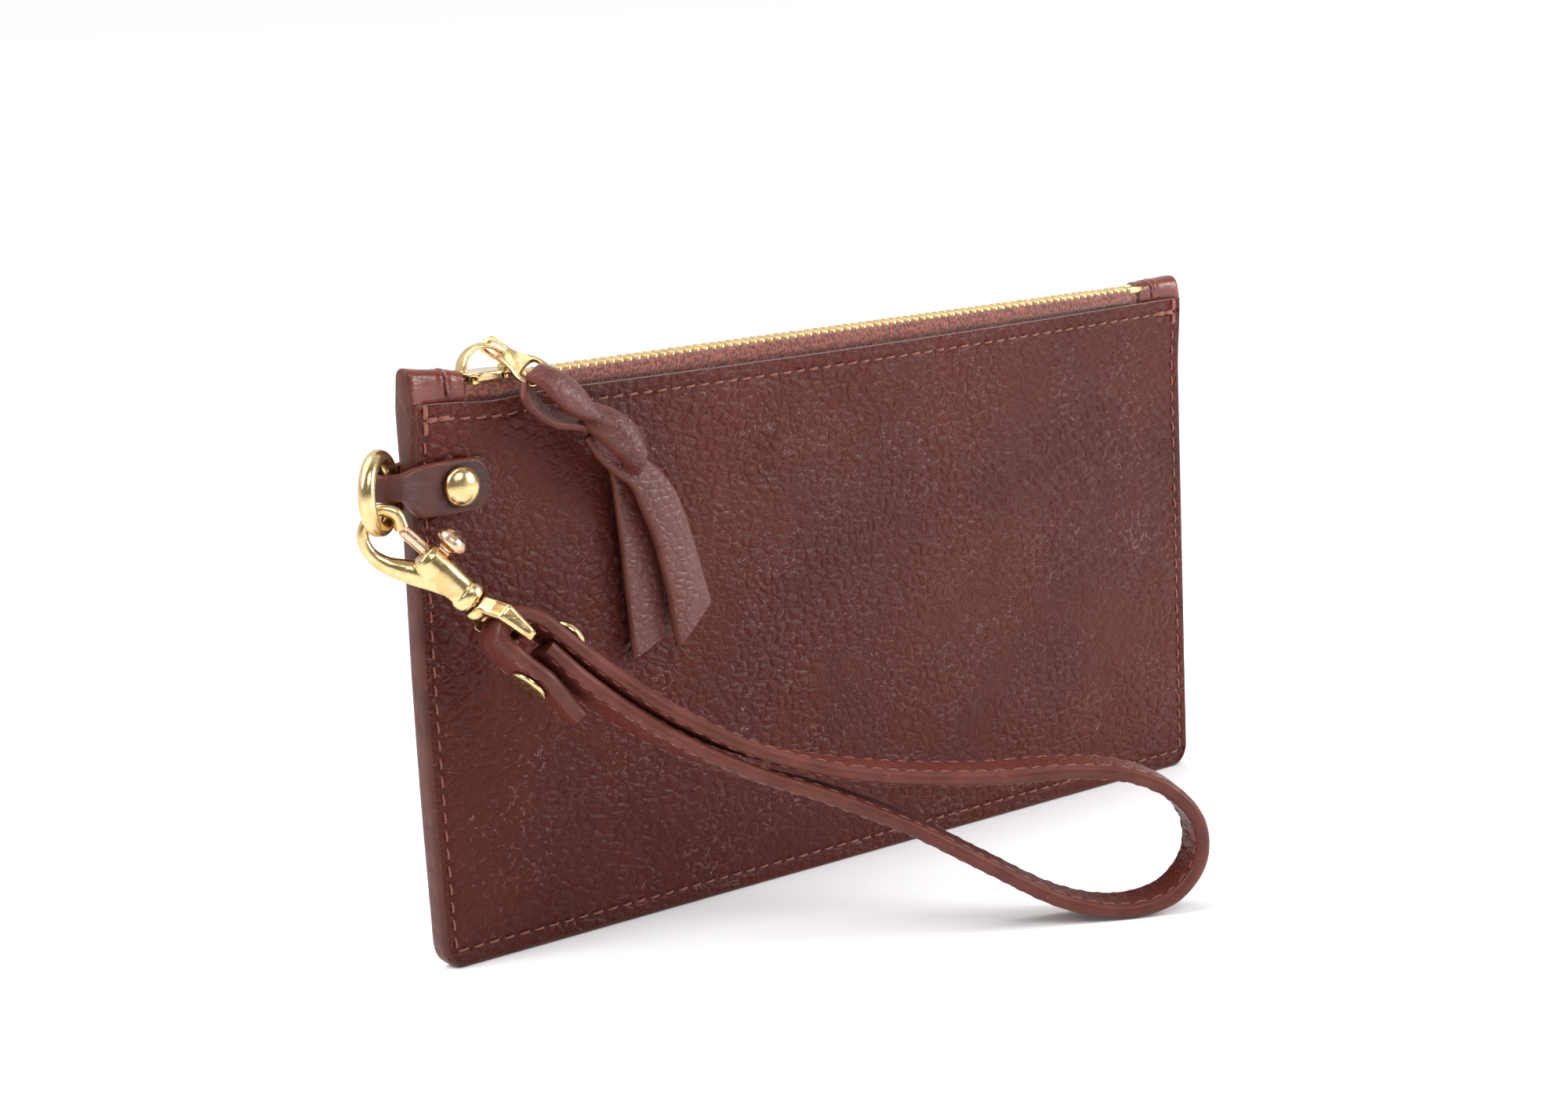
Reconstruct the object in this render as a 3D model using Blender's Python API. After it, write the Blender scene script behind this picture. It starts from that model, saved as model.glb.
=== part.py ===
"""A flat leather zip pouch with a wrist strap on a swivel snap hook.

Sizes below are in millimetres and become metres as each mesh is made. The origin is the middle of
the bottom edge: +X runs along the pouch, -Y is its front and +Z is up.
"""

import math

import bmesh
import bpy
from mathutils import Matrix, Vector

MM = 0.001

# Pouch body
WIDTH = 243.4
HEIGHT = 127.0
EDGE_THICKNESS = 5.3
LEATHER = 1.9
PANEL_GAP = 0.25
CLEARANCE = 0.3
CORNER_RADIUS = 5.5
BELLY = 3.0
TOP_FLARE = 1.15
FLARE_HEIGHT = 20.0
MOUTH_SAG = 1.0
WELT_WIDTH = 7.0
WELT_TOP = 114.5

# Zip: a number 5 metal chain
TOOTH_PITCH = 2.47
TOOTH_COUNT = 83
CHAIN_START = -102.0
CHAIN_HALF_WIDTH = 2.9
CHAIN_BOTTOM = 129.5
CHAIN_TOP = 131.2
TAPE_THICKNESS = 0.5
TAPE_HEM_Z = 117.0
LEFT_TAB_END = -107.2
RIGHT_TAB_END = 106.9
TAB_HALF_WIDTH = 2.9
TAB_LEG_HALF_WIDTH = 1.6
SLIDER_LEFT = -106.8
SLIDER_RIGHT = -93.6
MOUTH_HINGE_Y = 2.9
MOUTH_HINGE_Z = 127.0

# Crown over the slider, and the pull that hangs from it
CROWN_CENTRE_X = -100.4
CROWN_HALF_SPAN = 5.8
CROWN_FOOT_Z = 132.5
CROWN_RISE = 5.2
CROWN_HALF_WIDTH = 1.4
CROWN_THICKNESS = 1.1
PULL_ANGLE_ON_CROWN = math.radians(50)
PULL_THICKNESS = 1.2
PULL_BAR = 12.3
PULL_LENGTH = 13.5
THONG_THICKNESS = 1.6
THONG_LOOP_RADIUS = 2.3

# Ring tab, its rivet and the ring
RING_Z = 109.6
RING_MEAN_RADIUS = 7.6
RING_WIRE_RADIUS = 1.9
RING_CENTRE = Vector((-132.2, -4.55, RING_Z))
FOLD_AXIS_X = -126.1
FOLD_RADIUS = 3.8
TAB_FACE_Y = 3.4
TAB_LEATHER = 1.8
TAB_CENTRE_Z = 108.4
RIVET_X = -111.7

# Snap hook and strap, which hang in one upright plane that starts at the ring's lowest point
HANG_HEADING = math.radians(-29.5)
SNAP_JOINT_S = 18.45
SNAP_JOINT_Z = 84.85
SNAP_SLOPE = math.radians(-46)
EYE_ROLL = math.radians(25)
BOLT_V = 1.4
BAR_U = 12.0
STRAP_WIDTH = 12.0
STRAP_PLY = 1.7
STRAP_PLY_GAP = 0.3

SEGMENTS = 20

COLOURS = {
    "leather": ((0.115, 0.030, 0.020, 1.0), 0.45, 0.0),
    "edge": ((0.150, 0.040, 0.026, 1.0), 0.40, 0.0),
    "tape": ((0.190, 0.045, 0.030, 1.0), 0.85, 0.0),
    "brass": ((0.780, 0.570, 0.270, 1.0), 0.22, 1.0),
    "steel": ((0.600, 0.600, 0.600, 1.0), 0.30, 1.0),
}


def clear_scene():
    for obj in list(bpy.data.objects):
        bpy.data.objects.remove(obj, do_unlink=True)


def material(node, finish):
    colour, roughness, metallic = COLOURS[finish]
    made = bpy.data.materials.new(node + "_finish")
    made.use_nodes = True
    shader = made.node_tree.nodes["Principled BSDF"]
    shader.inputs["Base Color"].default_value = colour
    shader.inputs["Roughness"].default_value = roughness
    shader.inputs["Metallic"].default_value = metallic
    return made


def add(name, verts, faces, finish=None, frame=None, pivot=(0, 0, 0), round_angle=35):
    """A mesh object from points in its frame's millimetres, with its origin at pivot."""
    pivot = Vector(pivot)
    mesh = bpy.data.meshes.new(name)
    mesh.from_pydata([(Vector(v) - pivot) * MM for v in verts], [], faces)
    work = bmesh.new()
    work.from_mesh(mesh)
    bmesh.ops.recalc_face_normals(work, faces=work.faces)
    work.to_mesh(mesh)
    work.free()
    obj = bpy.data.objects.new(name, mesh)
    bpy.context.scene.collection.objects.link(obj)
    obj.matrix_world = (frame or Matrix()) @ Matrix.Translation(pivot * MM)
    if finish:
        mesh.materials.append(material(name, finish))
        mesh.shade_smooth()
        mesh.set_sharp_from_angle(angle=math.radians(round_angle))
    else:
        obj.hide_render = True
        obj.display_type = "WIRE"
    return obj


def boolean(obj, other, operation):
    modifier = obj.modifiers.new(operation.lower() + "_" + other.name, "BOOLEAN")
    modifier.operation = operation
    modifier.object = other


def cut(obj, cutter):
    boolean(obj, cutter, "DIFFERENCE")


def join(obj, other):
    boolean(obj, other, "UNION")


def frame_of(origin, x, y, z):
    """A frame at origin, in millimetres, from three unit axes."""
    return Matrix(
        (
            (x.x, y.x, z.x, origin.x * MM),
            (x.y, y.y, z.y, origin.y * MM),
            (x.z, y.z, z.z, origin.z * MM),
            (0, 0, 0, 1),
        )
    )


def loft(sections):
    """Points and faces of a closed solid through sections that hold the same number of points."""
    count = len(sections[0])
    verts = [point for section in sections for point in section]
    faces = [tuple(range(count))]
    for i in range(len(sections) - 1):
        for k in range(count):
            a = i * count + k
            b = i * count + (k + 1) % count
            # Opposite sides of a twisted strap start at matching corners, so both split the same way.
            side = (a, b, b + count, a + count)
            faces.append(side if 2 * k < count else side[1:] + side[:1])
    faces.append(tuple(range(len(verts) - count, len(verts))))
    return verts, faces


def prism(outline, low, high, axis="z"):
    """An outline carried from low to high along one axis."""
    order = {
        "x": lambda p, h: (h, p[0], p[1]),
        "y": lambda p, h: (p[0], h, p[1]),
        "z": lambda p, h: (p[0], p[1], h),
    }[axis]
    return loft([[order(p, low) for p in outline], [order(p, high) for p in outline]])


def box(low, high):
    x0, y0, z0 = low
    x1, y1, z1 = high
    return prism([(x0, y0), (x1, y0), (x1, y1), (x0, y1)], z0, z1)


def turned(profile, along="x", centre=(0, 0, 0), segments=SEGMENTS):
    """A solid turned about a line along x or y: profile holds (radius, distance along the line)."""
    rings = []
    for radius, height in profile:
        ring = []
        for k in range(segments):
            turn = 2 * math.pi * k / segments
            side, up = radius * math.cos(turn), radius * math.sin(turn)
            offset = (height, side, up) if along == "x" else (side, height, up)
            ring.append(Vector(centre) + Vector(offset))
        rings.append(ring)
    return loft(rings)


def smooth_route(points, steps):
    """A centripetal Catmull-Rom curve through points, with steps pieces between neighbours."""
    points = [Vector(p) for p in points]
    padded = [2 * points[0] - points[1], *points, 2 * points[-1] - points[-2]]
    route = []
    for i in range(1, len(padded) - 2):
        p0, p1, p2, p3 = padded[i - 1 : i + 3]
        t1 = math.sqrt((p1 - p0).length)
        t2 = t1 + math.sqrt((p2 - p1).length)
        t3 = t2 + math.sqrt((p3 - p2).length)
        for k in range(steps):
            t = t1 + (t2 - t1) * k / steps
            a1 = p0.lerp(p1, t / t1)
            a2 = p1.lerp(p2, (t - t1) / (t2 - t1))
            a3 = p2.lerp(p3, (t - t2) / (t3 - t2))
            b1 = a1.lerp(a2, t / t2)
            b2 = a2.lerp(a3, (t - t1) / (t3 - t1))
            route.append(b1.lerp(b2, (t - t1) / (t2 - t1)))
    route.append(points[-1])
    return route


def tangents(route):
    last = len(route) - 1
    return [(route[min(i + 1, last)] - route[max(i - 1, 0)]).normalized() for i in range(last + 1)]


def ribbon(route, across, half_widths, low, high):
    """A strap of rectangular section: across holds its width direction at each point."""
    sections = []
    for point, tangent, side, half in zip(route, tangents(route), across, half_widths):
        side = (side - tangent * side.dot(tangent)).normalized()
        normal = side.cross(tangent)
        sections.append(
            [
                point - side * half + normal * low,
                point + side * half + normal * low,
                point + side * half + normal * high,
                point - side * half + normal * high,
            ]
        )
    return loft(sections)


def tube(route, radii, depths, depth_axis, sides=10):
    """A round bar with its own radius in the plane and depth across it at each point."""
    sections = []
    for point, tangent, radius, depth in zip(route, tangents(route), radii, depths):
        normal = depth_axis.cross(tangent)
        section = []
        for k in range(sides):
            turn = 2 * math.pi * k / sides
            section.append(point + normal * radius * math.cos(turn) + depth_axis * depth * math.sin(turn))
        sections.append(section)
    return loft(sections)


def ease(t):
    t = min(max(t, 0.0), 1.0)
    return t * t * (3 - 2 * t)


# Pouch body


def panel_face(x, z):
    """How far a panel's outer face stands from the middle plane."""
    up = z / HEIGHT
    rise = math.sin(math.pi * up) if up < 0.5 else 1 - 0.62 * ease((up - 0.5) * 2)
    belly = BELLY * (1 - (2 * x / WIDTH) ** 2) * rise
    flare = TOP_FLARE * ease((z - HEIGHT + FLARE_HEIGHT) / FLARE_HEIGHT)
    return EDGE_THICKNESS / 2 + flare + belly


def panel_lining(x, z):
    return panel_face(x, z) - LEATHER


def half_width_at(z):
    """Half the panel's width at a height, with its lower corners rounded."""
    if z >= CORNER_RADIUS:
        return WIDTH / 2
    drop = CORNER_RADIUS - z
    return WIDTH / 2 - CORNER_RADIUS + math.sqrt(CORNER_RADIUS**2 - drop**2)


def panel(name, side):
    heights = [0.0, 0.5, 1.6, 3.2, CORNER_RADIUS, 16, 30, 46, 64, 82, 98, 112, 121, HEIGHT]
    columns = 18
    grid = []
    for z in heights:
        for i in range(columns + 1):
            across = 2 * i / columns - 1
            x = half_width_at(z) * math.copysign(abs(across) ** 0.9, across)
            sag = MOUTH_SAG * (1 - across**2) if z == HEIGHT else 0
            grid.append((x, z - sag))
    verts = [(x, side * panel_face(x, z), z) for x, z in grid]
    verts += [(x, side * panel_lining(x, z), z) for x, z in grid]
    row = columns + 1
    inner = len(grid)
    faces = []
    for j in range(len(heights) - 1):
        for i in range(columns):
            a = j * row + i
            faces.append((a, a + 1, a + 1 + row, a + row))
            faces.append((inner + a + row, inner + a + 1 + row, inner + a + 1, inner + a))
    top = (len(heights) - 1) * row
    border = list(range(columns)) + [j * row + columns for j in range(len(heights) - 1)]
    border += [top + columns - i for i in range(columns)]
    border += [top - j * row for j in range(len(heights) - 1)]
    for a, b in zip(border, border[1:] + border[:1]):
        faces.append((a, b, inner + b, inner + a))
    obj = add(name, verts, faces, "leather")
    cutter = turned([(1.8, side * 12), (1.8, side * 0.2)], "y", (RIVET_X, 0, TAB_CENTRE_Z), 12)
    cut(obj, add(name + "_rivet_hole", *cutter))


def seam_welt():
    edge, inner = WIDTH / 2, WIDTH / 2 - WELT_WIDTH
    outline = [(-edge, WELT_TOP)]
    for turn in range(180, 271, 18):
        a = math.radians(turn)
        outline.append(corner_point(-1, a))
    for turn in range(270, 361, 18):
        a = math.radians(turn)
        outline.append(corner_point(1, a))
    outline += [(edge, WELT_TOP), (inner, WELT_TOP), (inner, WELT_WIDTH)]
    outline += [(-inner, WELT_WIDTH), (-inner, WELT_TOP)]
    half = EDGE_THICKNESS / 2 - LEATHER - PANEL_GAP
    add("seam_welt", *prism(outline, -half, half, "y"), "edge")


def corner_point(side, turn):
    centre = side * (WIDTH / 2 - CORNER_RADIUS)
    return centre + CORNER_RADIUS * math.cos(turn), CORNER_RADIUS * (1 + math.sin(turn))


def end_tab(name, side, inner_end, outer_top, inner_top):
    """Leather folded over one end of the zip, with its legs sewn between the panels."""
    outer_end = side * WIDTH / 2
    sections = []
    for x, top in ((outer_end, outer_top), (inner_end, inner_top)):
        half = [(0.8, 115.0), (TAB_LEG_HALF_WIDTH, 126.4), (TAB_LEG_HALF_WIDTH, 127.5)]
        half += [(TAB_HALF_WIDTH, 128.0), (TAB_HALF_WIDTH, top - 2.2)]
        for turn in (30, 60, 90):
            a = math.radians(turn)
            half.append((TAB_HALF_WIDTH * math.cos(a), top - 2.2 + 2.2 * math.sin(a)))
        mirrored = [(-y, z) for y, z in reversed(half[:-1])]
        sections.append([(x, y, z) for y, z in half + mirrored])
    obj = add(name, *loft(sections), "edge")
    mouth = sorted((inner_end - side * 2, inner_end + side * 5.5))
    pocket = box((mouth[0], -2.0, 127.9), (mouth[1], 2.0, inner_top - 1.0))
    cut(obj, add(name + "_pocket", *pocket))


# Zip


def tape_section(x, side):
    """The tape at one place: its hem lies inside the panel and its top edge is at the teeth."""
    wall = panel_lining(x, HEIGHT) - CLEARANCE
    hem = panel_lining(x, TAPE_HEM_Z) - CLEARANCE
    outer = CHAIN_HALF_WIDTH + CLEARANCE + TAPE_THICKNESS
    line = [(hem, TAPE_HEM_Z), (wall, HEIGHT + CLEARANCE), (outer, CHAIN_BOTTOM), (outer, CHAIN_TOP - 0.5)]
    return tape_outline(x, side, line)


def tape_tongue(x, side):
    """The narrow end of the tape, inside an end tab."""
    line = [(1.7, z) for z in (128.2, 128.9, 129.6, 130.3)]
    return tape_outline(x, side, line)


def tape_outline(x, side, line):
    outer = [(x, side * y, z) for y, z in line]
    inner = [(x, side * (y - TAPE_THICKNESS), z) for y, z in reversed(line)]
    return outer + inner


def mouth_pivot(side):
    return (0, side * MOUTH_HINGE_Y, MOUTH_HINGE_Z)


def zip_tape(name, side):
    left, right = LEFT_TAB_END + 1.9, RIGHT_TAB_END - 1.7
    sections = [tape_tongue(LEFT_TAB_END - 4.3, side), tape_tongue(LEFT_TAB_END + 0.2, side)]
    spans = 10
    for i in range(spans + 1):
        sections.append(tape_section(left + (right - left) * i / spans, side))
    sections += [tape_tongue(RIGHT_TAB_END - 0.2, side), tape_tongue(RIGHT_TAB_END + 4.0, side)]
    add(name, *loft(sections), "tape", pivot=mouth_pivot(side))


def zip_teeth(name, side):
    """One row of teeth as a rack whose points mesh with the other row's, a clearance apart."""
    outline = []
    for i in range(TOOTH_COUNT * 2 + 1):
        x = CHAIN_START + i * TOOTH_PITCH / 2
        reach = 0.5 if i % 2 else -0.5
        outline.append((x, side * CLEARANCE / 2 + reach))
    end = outline[-1][0]
    outline += [(end, side * CHAIN_HALF_WIDTH), (CHAIN_START, side * CHAIN_HALF_WIDTH)]
    add(name, *prism(outline, CHAIN_BOTTOM, CHAIN_TOP), "brass", pivot=mouth_pivot(side))


def zip_stops():
    for name, side in (("zip_top_stop_front", -1), ("zip_top_stop_back", 1)):
        y0, y1 = sorted((side * 1.4, side * 2.5))
        add(name, *box((-105.0, y0, 129.6), (-102.6, y1, 131.1)), "brass")
    add("zip_bottom_stop", *box((103.4, -2.6, 129.4), (105.0, 2.6, 131.4)), "brass")


def slider_body():
    left, right = SLIDER_LEFT, SLIDER_RIGHT
    plate = [(left + 0.8, -4.0), (left + 2, -4.4), (left + 8, -4.4), (right - 1.6, -3.4), (right, -2.2)]
    plate += [(x, -y) for x, y in reversed(plate)] + [(left, 2.4), (left, -2.4)]
    body = add("slider_body", *prism(plate, 131.5, 132.2), "brass", pivot=(left, 0, 131.5))
    under = [(left + 1.5, -1.7), (right - 1.0, -1.7), (right - 1.0, 1.7), (left + 1.5, 1.7)]
    join(body, add("slider_neck", *box((left + 0.3, -1.0, 128.9), (left + 3.3, 1.0, 131.7))))
    join(body, add("slider_under_plate", *prism(under, 128.5, 129.2)))
    for name, side in (("slider_flange_front", -1), ("slider_flange_back", 1)):
        y0, y1 = sorted((side * 3.75, side * 4.35))
        join(body, add(name, *box((left + 2.2, y0, 130.5), (left + 7.8, y1, 131.7))))


def crown_point(turn, grow=0.0):
    x = CROWN_CENTRE_X + (CROWN_HALF_SPAN + grow) * math.cos(turn)
    return Vector((x, 0, CROWN_FOOT_Z + (CROWN_RISE + grow) * math.sin(turn)))


def slider_crown():
    sections = []
    half = CROWN_THICKNESS / 2
    for i in range(15):
        turn = math.pi * i / 14
        low, high = crown_point(turn, -half), crown_point(turn, half)
        side = Vector((0, CROWN_HALF_WIDTH, 0))
        sections.append([low - side, low + side, high + side, high - side])
    add("slider_crown", *loft(sections), "brass", pivot=crown_point(math.pi / 2))


def pull_frame():
    """Along the pull from its pivot on the crown, across it, and out of its face."""
    along = Vector((0.36, -0.80, -0.48)).normalized()
    across = Vector((0.80, 0.0, 0.60))
    across = (across - along * across.dot(along)).normalized()
    return frame_of(crown_point(PULL_ANGLE_ON_CROWN), along, across, along.cross(across))


def pull_tab(frame):
    half = [(-3.4, 1.3), (-3.0, 2.0), (5.0, 2.0), (7.5, 3.3), (12.0, 3.4), (13.1, 2.4), (PULL_LENGTH, 1.0)]
    outline = half + [(along, -across) for along, across in reversed(half)]
    rise = PULL_THICKNESS / 2
    tab = add("pull_tab", *prism(outline, -rise, rise), "brass", frame)
    cut(tab, add("pull_eye", *box((-2.4, -1.5, -2), (2.3, 1.5, 2)), frame=frame))
    cut(tab, add("pull_slot", *box((7.4, -2.6, -2), (11.1, 2.6, 2)), frame=frame))


def thong(frame):
    """A thong looped through the pull's slot and knotted, with two cut tails below the knot."""
    turn = frame.to_3x3()
    bar = frame @ Vector((PULL_BAR * MM, 0, 0)) / MM
    along, across, out = turn.col[0], turn.col[1], turn.col[2]
    knot = Vector((-73.0, -10.4, 112.0))
    loop = []
    for degrees in (-80, -115, -150, 180, 150, 115, 80):
        a = math.radians(degrees)
        loop.append(bar + THONG_LOOP_RADIUS * (along * math.cos(a) + out * math.sin(a)))
    under = [knot, Vector((-82.0, -8.6, 117.4)), Vector((-88.6, -8.8, 122.2))]
    over = [Vector((-86.2, -13.0, 127.2)), Vector((-80.0, -13.0, 119.6)), knot + Vector((0, -0.6, 0))]
    route = smooth_route(under + loop + over, 1)
    halves = [3.0, 3.8, 3.2] + [2.3] * len(loop) + [3.6, 4.2, 3.0]
    slab = THONG_THICKNESS / 2
    body = add(
        "pull_thong", *ribbon(route, [across] * len(route), halves, -slab, slab), "leather", pivot=bar
    )
    tails = {
        "thong_front_tail": [(-73.0, -10.6, 112), (-67.5, -11.0, 104), (-60.5, -10.6, 96), (-57.0, -10.4, 86),
                             (-54.2, -10.4, 76), (-51.0, -10.2, 66)],
        "thong_back_tail": [(-72.0, -9.4, 111), (-69.0, -7.6, 102), (-66.5, -7.2, 86), (-64.2, -7.2, 64)],
    }
    for name, points in tails.items():
        way = smooth_route(points, 2)
        flat = [Vector((0.96, 0, 0.28))] * len(way)
        halves = [min(3.0 + 1.3 * i, 5.2) for i in range(len(way))]
        join(body, add(name, *ribbon(way, flat, halves, -slab, slab)))
    lobes = [(0.0, -6.4), (2.4, -5.6), (4.0, -3.6), (4.7, 0.0), (4.0, 3.6), (2.4, 5.6), (0.0, 6.4)]
    lump = turned([(max(r, 0.6), h) for r, h in lobes], "x", (0, 0, 0), 12)
    tilt = Matrix.Translation(knot * MM) @ Matrix.Rotation(math.radians(58), 4, "Y")
    tilt = tilt @ Matrix.Diagonal((1, 0.78, 1, 1))
    points = [tilt @ (p * MM) / MM for p in lump[0]]
    join(body, add("thong_knot", points, lump[1]))


# Ring tab and ring


def ring_tab():
    """A tab folded round the ring and riveted through the pouch."""
    centre_y = TAB_FACE_Y + TAB_LEATHER / 2
    fold = FOLD_RADIUS + TAB_LEATHER / 2
    front = [(-103.9, -centre_y), (-104.5, -centre_y), (-106.0, -centre_y), (-109.0, -centre_y)]
    front += [(-116.0, -centre_y), (-121.5, -centre_y)]
    arc = [(FOLD_AXIS_X + fold * math.cos(a), fold * math.sin(a)) for a in fold_turns()]
    path = front + arc + [(x, -y) for x, y in reversed(front)]
    ends = [1.6, 3.4, 5.2, 6.0, 6.0, 5.4]
    halves = ends + [3.0] * len(arc) + list(reversed(ends))
    lifts = [0.0] * len(front) + [1.7] * len(arc) + [0.0] * len(front)
    route = [Vector((x, y, TAB_CENTRE_Z + lift)) for (x, y), lift in zip(path, lifts)]
    up = [Vector((0, 0, 1))] * len(route)
    slab = TAB_LEATHER / 2
    obj = add("ring_tab", *ribbon(route, up, halves, -slab, slab), "leather")
    hole = turned([(1.8, -10), (1.8, 10)], "y", (RIVET_X, 0, TAB_CENTRE_Z), 12)
    cut(obj, add("ring_tab_hole", *hole))


def fold_turns():
    return [math.radians(a) for a in range(270, 89, -20)]


def tab_rivet():
    face = TAB_FACE_Y + TAB_LEATHER + CLEARANCE
    centre = (RIVET_X, 0, TAB_CENTRE_Z)
    dome = [(4.5, -face), (4.6, -face - 0.5), (4.1, -face - 1.4), (2.9, -face - 2.2), (1.4, -face - 2.6)]
    cap = add("tab_rivet_cap", *turned(dome, "y", centre), "brass")
    well = turned([(1.75, -face + 1), (1.75, -face - 1.2)], "y", centre, 12)
    cut(cap, add("tab_rivet_well", *well))
    post = [(1.4, -face - 0.8), (1.4, face), (4.4, face), (4.4, face + 0.5), (3.6, face + 0.9)]
    add("tab_rivet_post", *turned(post, "y", centre, 16), "brass")


def ring():
    along = Vector((-0.8, -0.6, 0))
    up = Vector((0, 0, 1))
    axis = along.cross(up)
    sections = []
    around, sides = 36, 10
    verts, faces = [], []
    for i in range(around):
        turn = 2 * math.pi * i / around
        outward = along * math.cos(turn) + up * math.sin(turn)
        for k in range(sides):
            a = 2 * math.pi * k / sides
            reach = RING_MEAN_RADIUS + RING_WIRE_RADIUS * math.cos(a)
            verts.append(RING_CENTRE + outward * reach + axis * RING_WIRE_RADIUS * math.sin(a))
            here, over = i * sides + k, i * sides + (k + 1) % sides
            step = sides if i < around - 1 else -(around - 1) * sides
            faces.append((here, over, over + step, here + step))
    add("ring", verts, faces, "brass", pivot=(FOLD_AXIS_X, 0, RING_Z))


# Snap hook


def hang_point(s, z):
    """A point of the upright plane that the hook and strap hang in."""
    return Vector((RING_CENTRE.x + s * math.cos(HANG_HEADING), RING_CENTRE.y + s * math.sin(HANG_HEADING), z))


def snap_frame():
    """Down the snap's axis from its swivel, up across it, and sideways out of its plane."""
    heading = Vector((math.cos(HANG_HEADING), math.sin(HANG_HEADING), 0))
    up = Vector((0, 0, 1))
    down_axis = heading * math.cos(SNAP_SLOPE) + up * math.sin(SNAP_SLOPE)
    across = -heading * math.sin(SNAP_SLOPE) + up * math.cos(SNAP_SLOPE)
    return frame_of(hang_point(SNAP_JOINT_S, SNAP_JOINT_Z), down_axis, across, down_axis.cross(across))


def local_of(frame, point):
    return frame.inverted() @ (point * MM) / MM


def snap_hook_body(frame):
    bow = [(-22.3, 2.0), (-25.6, 2.9), (-28.2, 1.0), (-28.6, -2.2), (-26.9, -5.4), (-23.4, -7.0)]
    bow += [(-19.3, -6.5), (-15.8, -4.4), (-13.2, -2.4), (-10.4, -1.4)]
    steps = 2
    route = smooth_route([(u, v, 0) for u, v in bow], steps)
    sizes = [1.5, 1.6, 1.3, 1.2, 1.3, 1.5, 1.8, 2.3, 2.4, 1.8]
    radii = [spread(sizes, i / steps) for i in range(len(route))]
    depths = [max(r * 0.9, 1.5) for r in radii]
    pivot = local_of(frame, ring_low_point())
    hook = add("snap_hook_body", *tube(route, radii, depths, Vector((0, 0, 1))), "brass", frame, pivot)
    barrel = [(3.2, -14.6), (3.8, -13.8), (3.6, -8.0), (3.35, -3.0), (3.8, -1.9), (3.8, -0.4), (3.4, 0.5)]
    join(hook, add("snap_barrel", *turned(barrel), frame=frame))
    bore = turned([(1.65, -17), (1.65, -2.7)], centre=(0, BOLT_V, 0), segments=14)
    cut(hook, add("snap_bore", *bore, frame=frame))
    cut(hook, add("snap_slot", *box((-17, BOLT_V, -0.95), (-5.2, 6, 0.95)), frame=frame))
    stud_hole = turned([(1.55, -1.7), (1.55, 2.0)], segments=14)
    cut(hook, add("snap_stud_hole", *stud_hole, frame=frame))


def ring_low_point():
    return RING_CENTRE - Vector((0, 0, RING_MEAN_RADIUS))


def spread(values, place):
    low = min(int(place), len(values) - 2)
    return values[low] + (values[low + 1] - values[low]) * (place - low)


def snap_bolt(frame):
    rod = turned([(0.9, -21.5), (1.35, -21.0), (1.35, -8.6)], centre=(0, BOLT_V, 0), segments=12)
    bolt = add("snap_bolt", *rod, "brass", frame, (-12, BOLT_V, 0))
    join(bolt, add("bolt_post", *box((-13.0, BOLT_V, -0.65), (-10.7, 5.8, 0.65)), frame=frame))
    knob = [(1.2, 5.4), (2.7, 5.8), (3.0, 6.8), (2.3, 7.8), (0.9, 8.2)]
    join(bolt, add("bolt_knob", *turned(knob, "y", (-12, 0, 0), 14), frame=frame))


def snap_spring(frame):
    turns, steps, sides = 5, 10, 6
    coil, wire = 1.15, 0.22
    low, high = -8.2, -3.1
    route = []
    for i in range(turns * steps + 1):
        a = 2 * math.pi * i / steps
        along = low + (high - low) * i / (turns * steps)
        route.append(Vector((along, BOLT_V + coil * math.cos(a), coil * math.sin(a))))
    sections = []
    for point, tangent in zip(route, tangents(route)):
        outward = Vector((0, point.y - BOLT_V, point.z)).normalized()
        side = tangent.cross(outward)
        section = []
        for k in range(sides):
            a = 2 * math.pi * k / sides
            section.append(point + outward * wire * math.cos(a) + side * wire * math.sin(a))
        sections.append(section)
    add("snap_spring", *loft(sections), "steel", frame, (high, BOLT_V, 0))


def swivel_stud(frame):
    profile = [(1.0, -1.4), (1.25, -1.1), (1.25, 4.2), (2.2, 4.2), (2.2, 4.6), (1.2, 5.0)]
    add("swivel_stud", *turned(profile, segments=14), "brass", frame)


def eye_frame(frame):
    return frame @ Matrix.Rotation(-EYE_ROLL, 4, "X")


def swivel_eye(frame):
    half = [(0.9, 3.3), (3.2, 5.6), (5.2, 8.6), (12.4, 8.9), (13.7, 8.2), (13.7, 7.3), (11.0, 7.0)]
    half += [(5.4, 6.9), (3.9, 2.7)]
    outline = half + [(u, -w) for u, w in reversed(half)]
    fork = [[(u, v, w) for u, w in outline] for v in (-1.7, 1.7)]
    eye = add("swivel_eye", *loft(fork), "brass", frame)
    join(eye, add("eye_collar", *turned([(3.0, 0.85), (3.5, 1.3), (3.5, 2.8), (2.6, 3.8)]), frame=frame))
    join(eye, add("eye_bar", *bar_mesh(), frame=frame))
    stud_way = turned([(1.6, -1), (1.6, 5)], segments=14)
    cut(eye, add("eye_stud_hole", *stud_way, frame=frame))


def bar_mesh():
    rings = []
    for w in (-7.6, 7.6):
        ring_points = []
        for k in range(12):
            a = 2 * math.pi * k / 12
            ring_points.append((BAR_U + 1.2 * math.cos(a), 1.2 * math.sin(a), w))
        rings.append(ring_points)
    return loft(rings)


# Wrist strap

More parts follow.
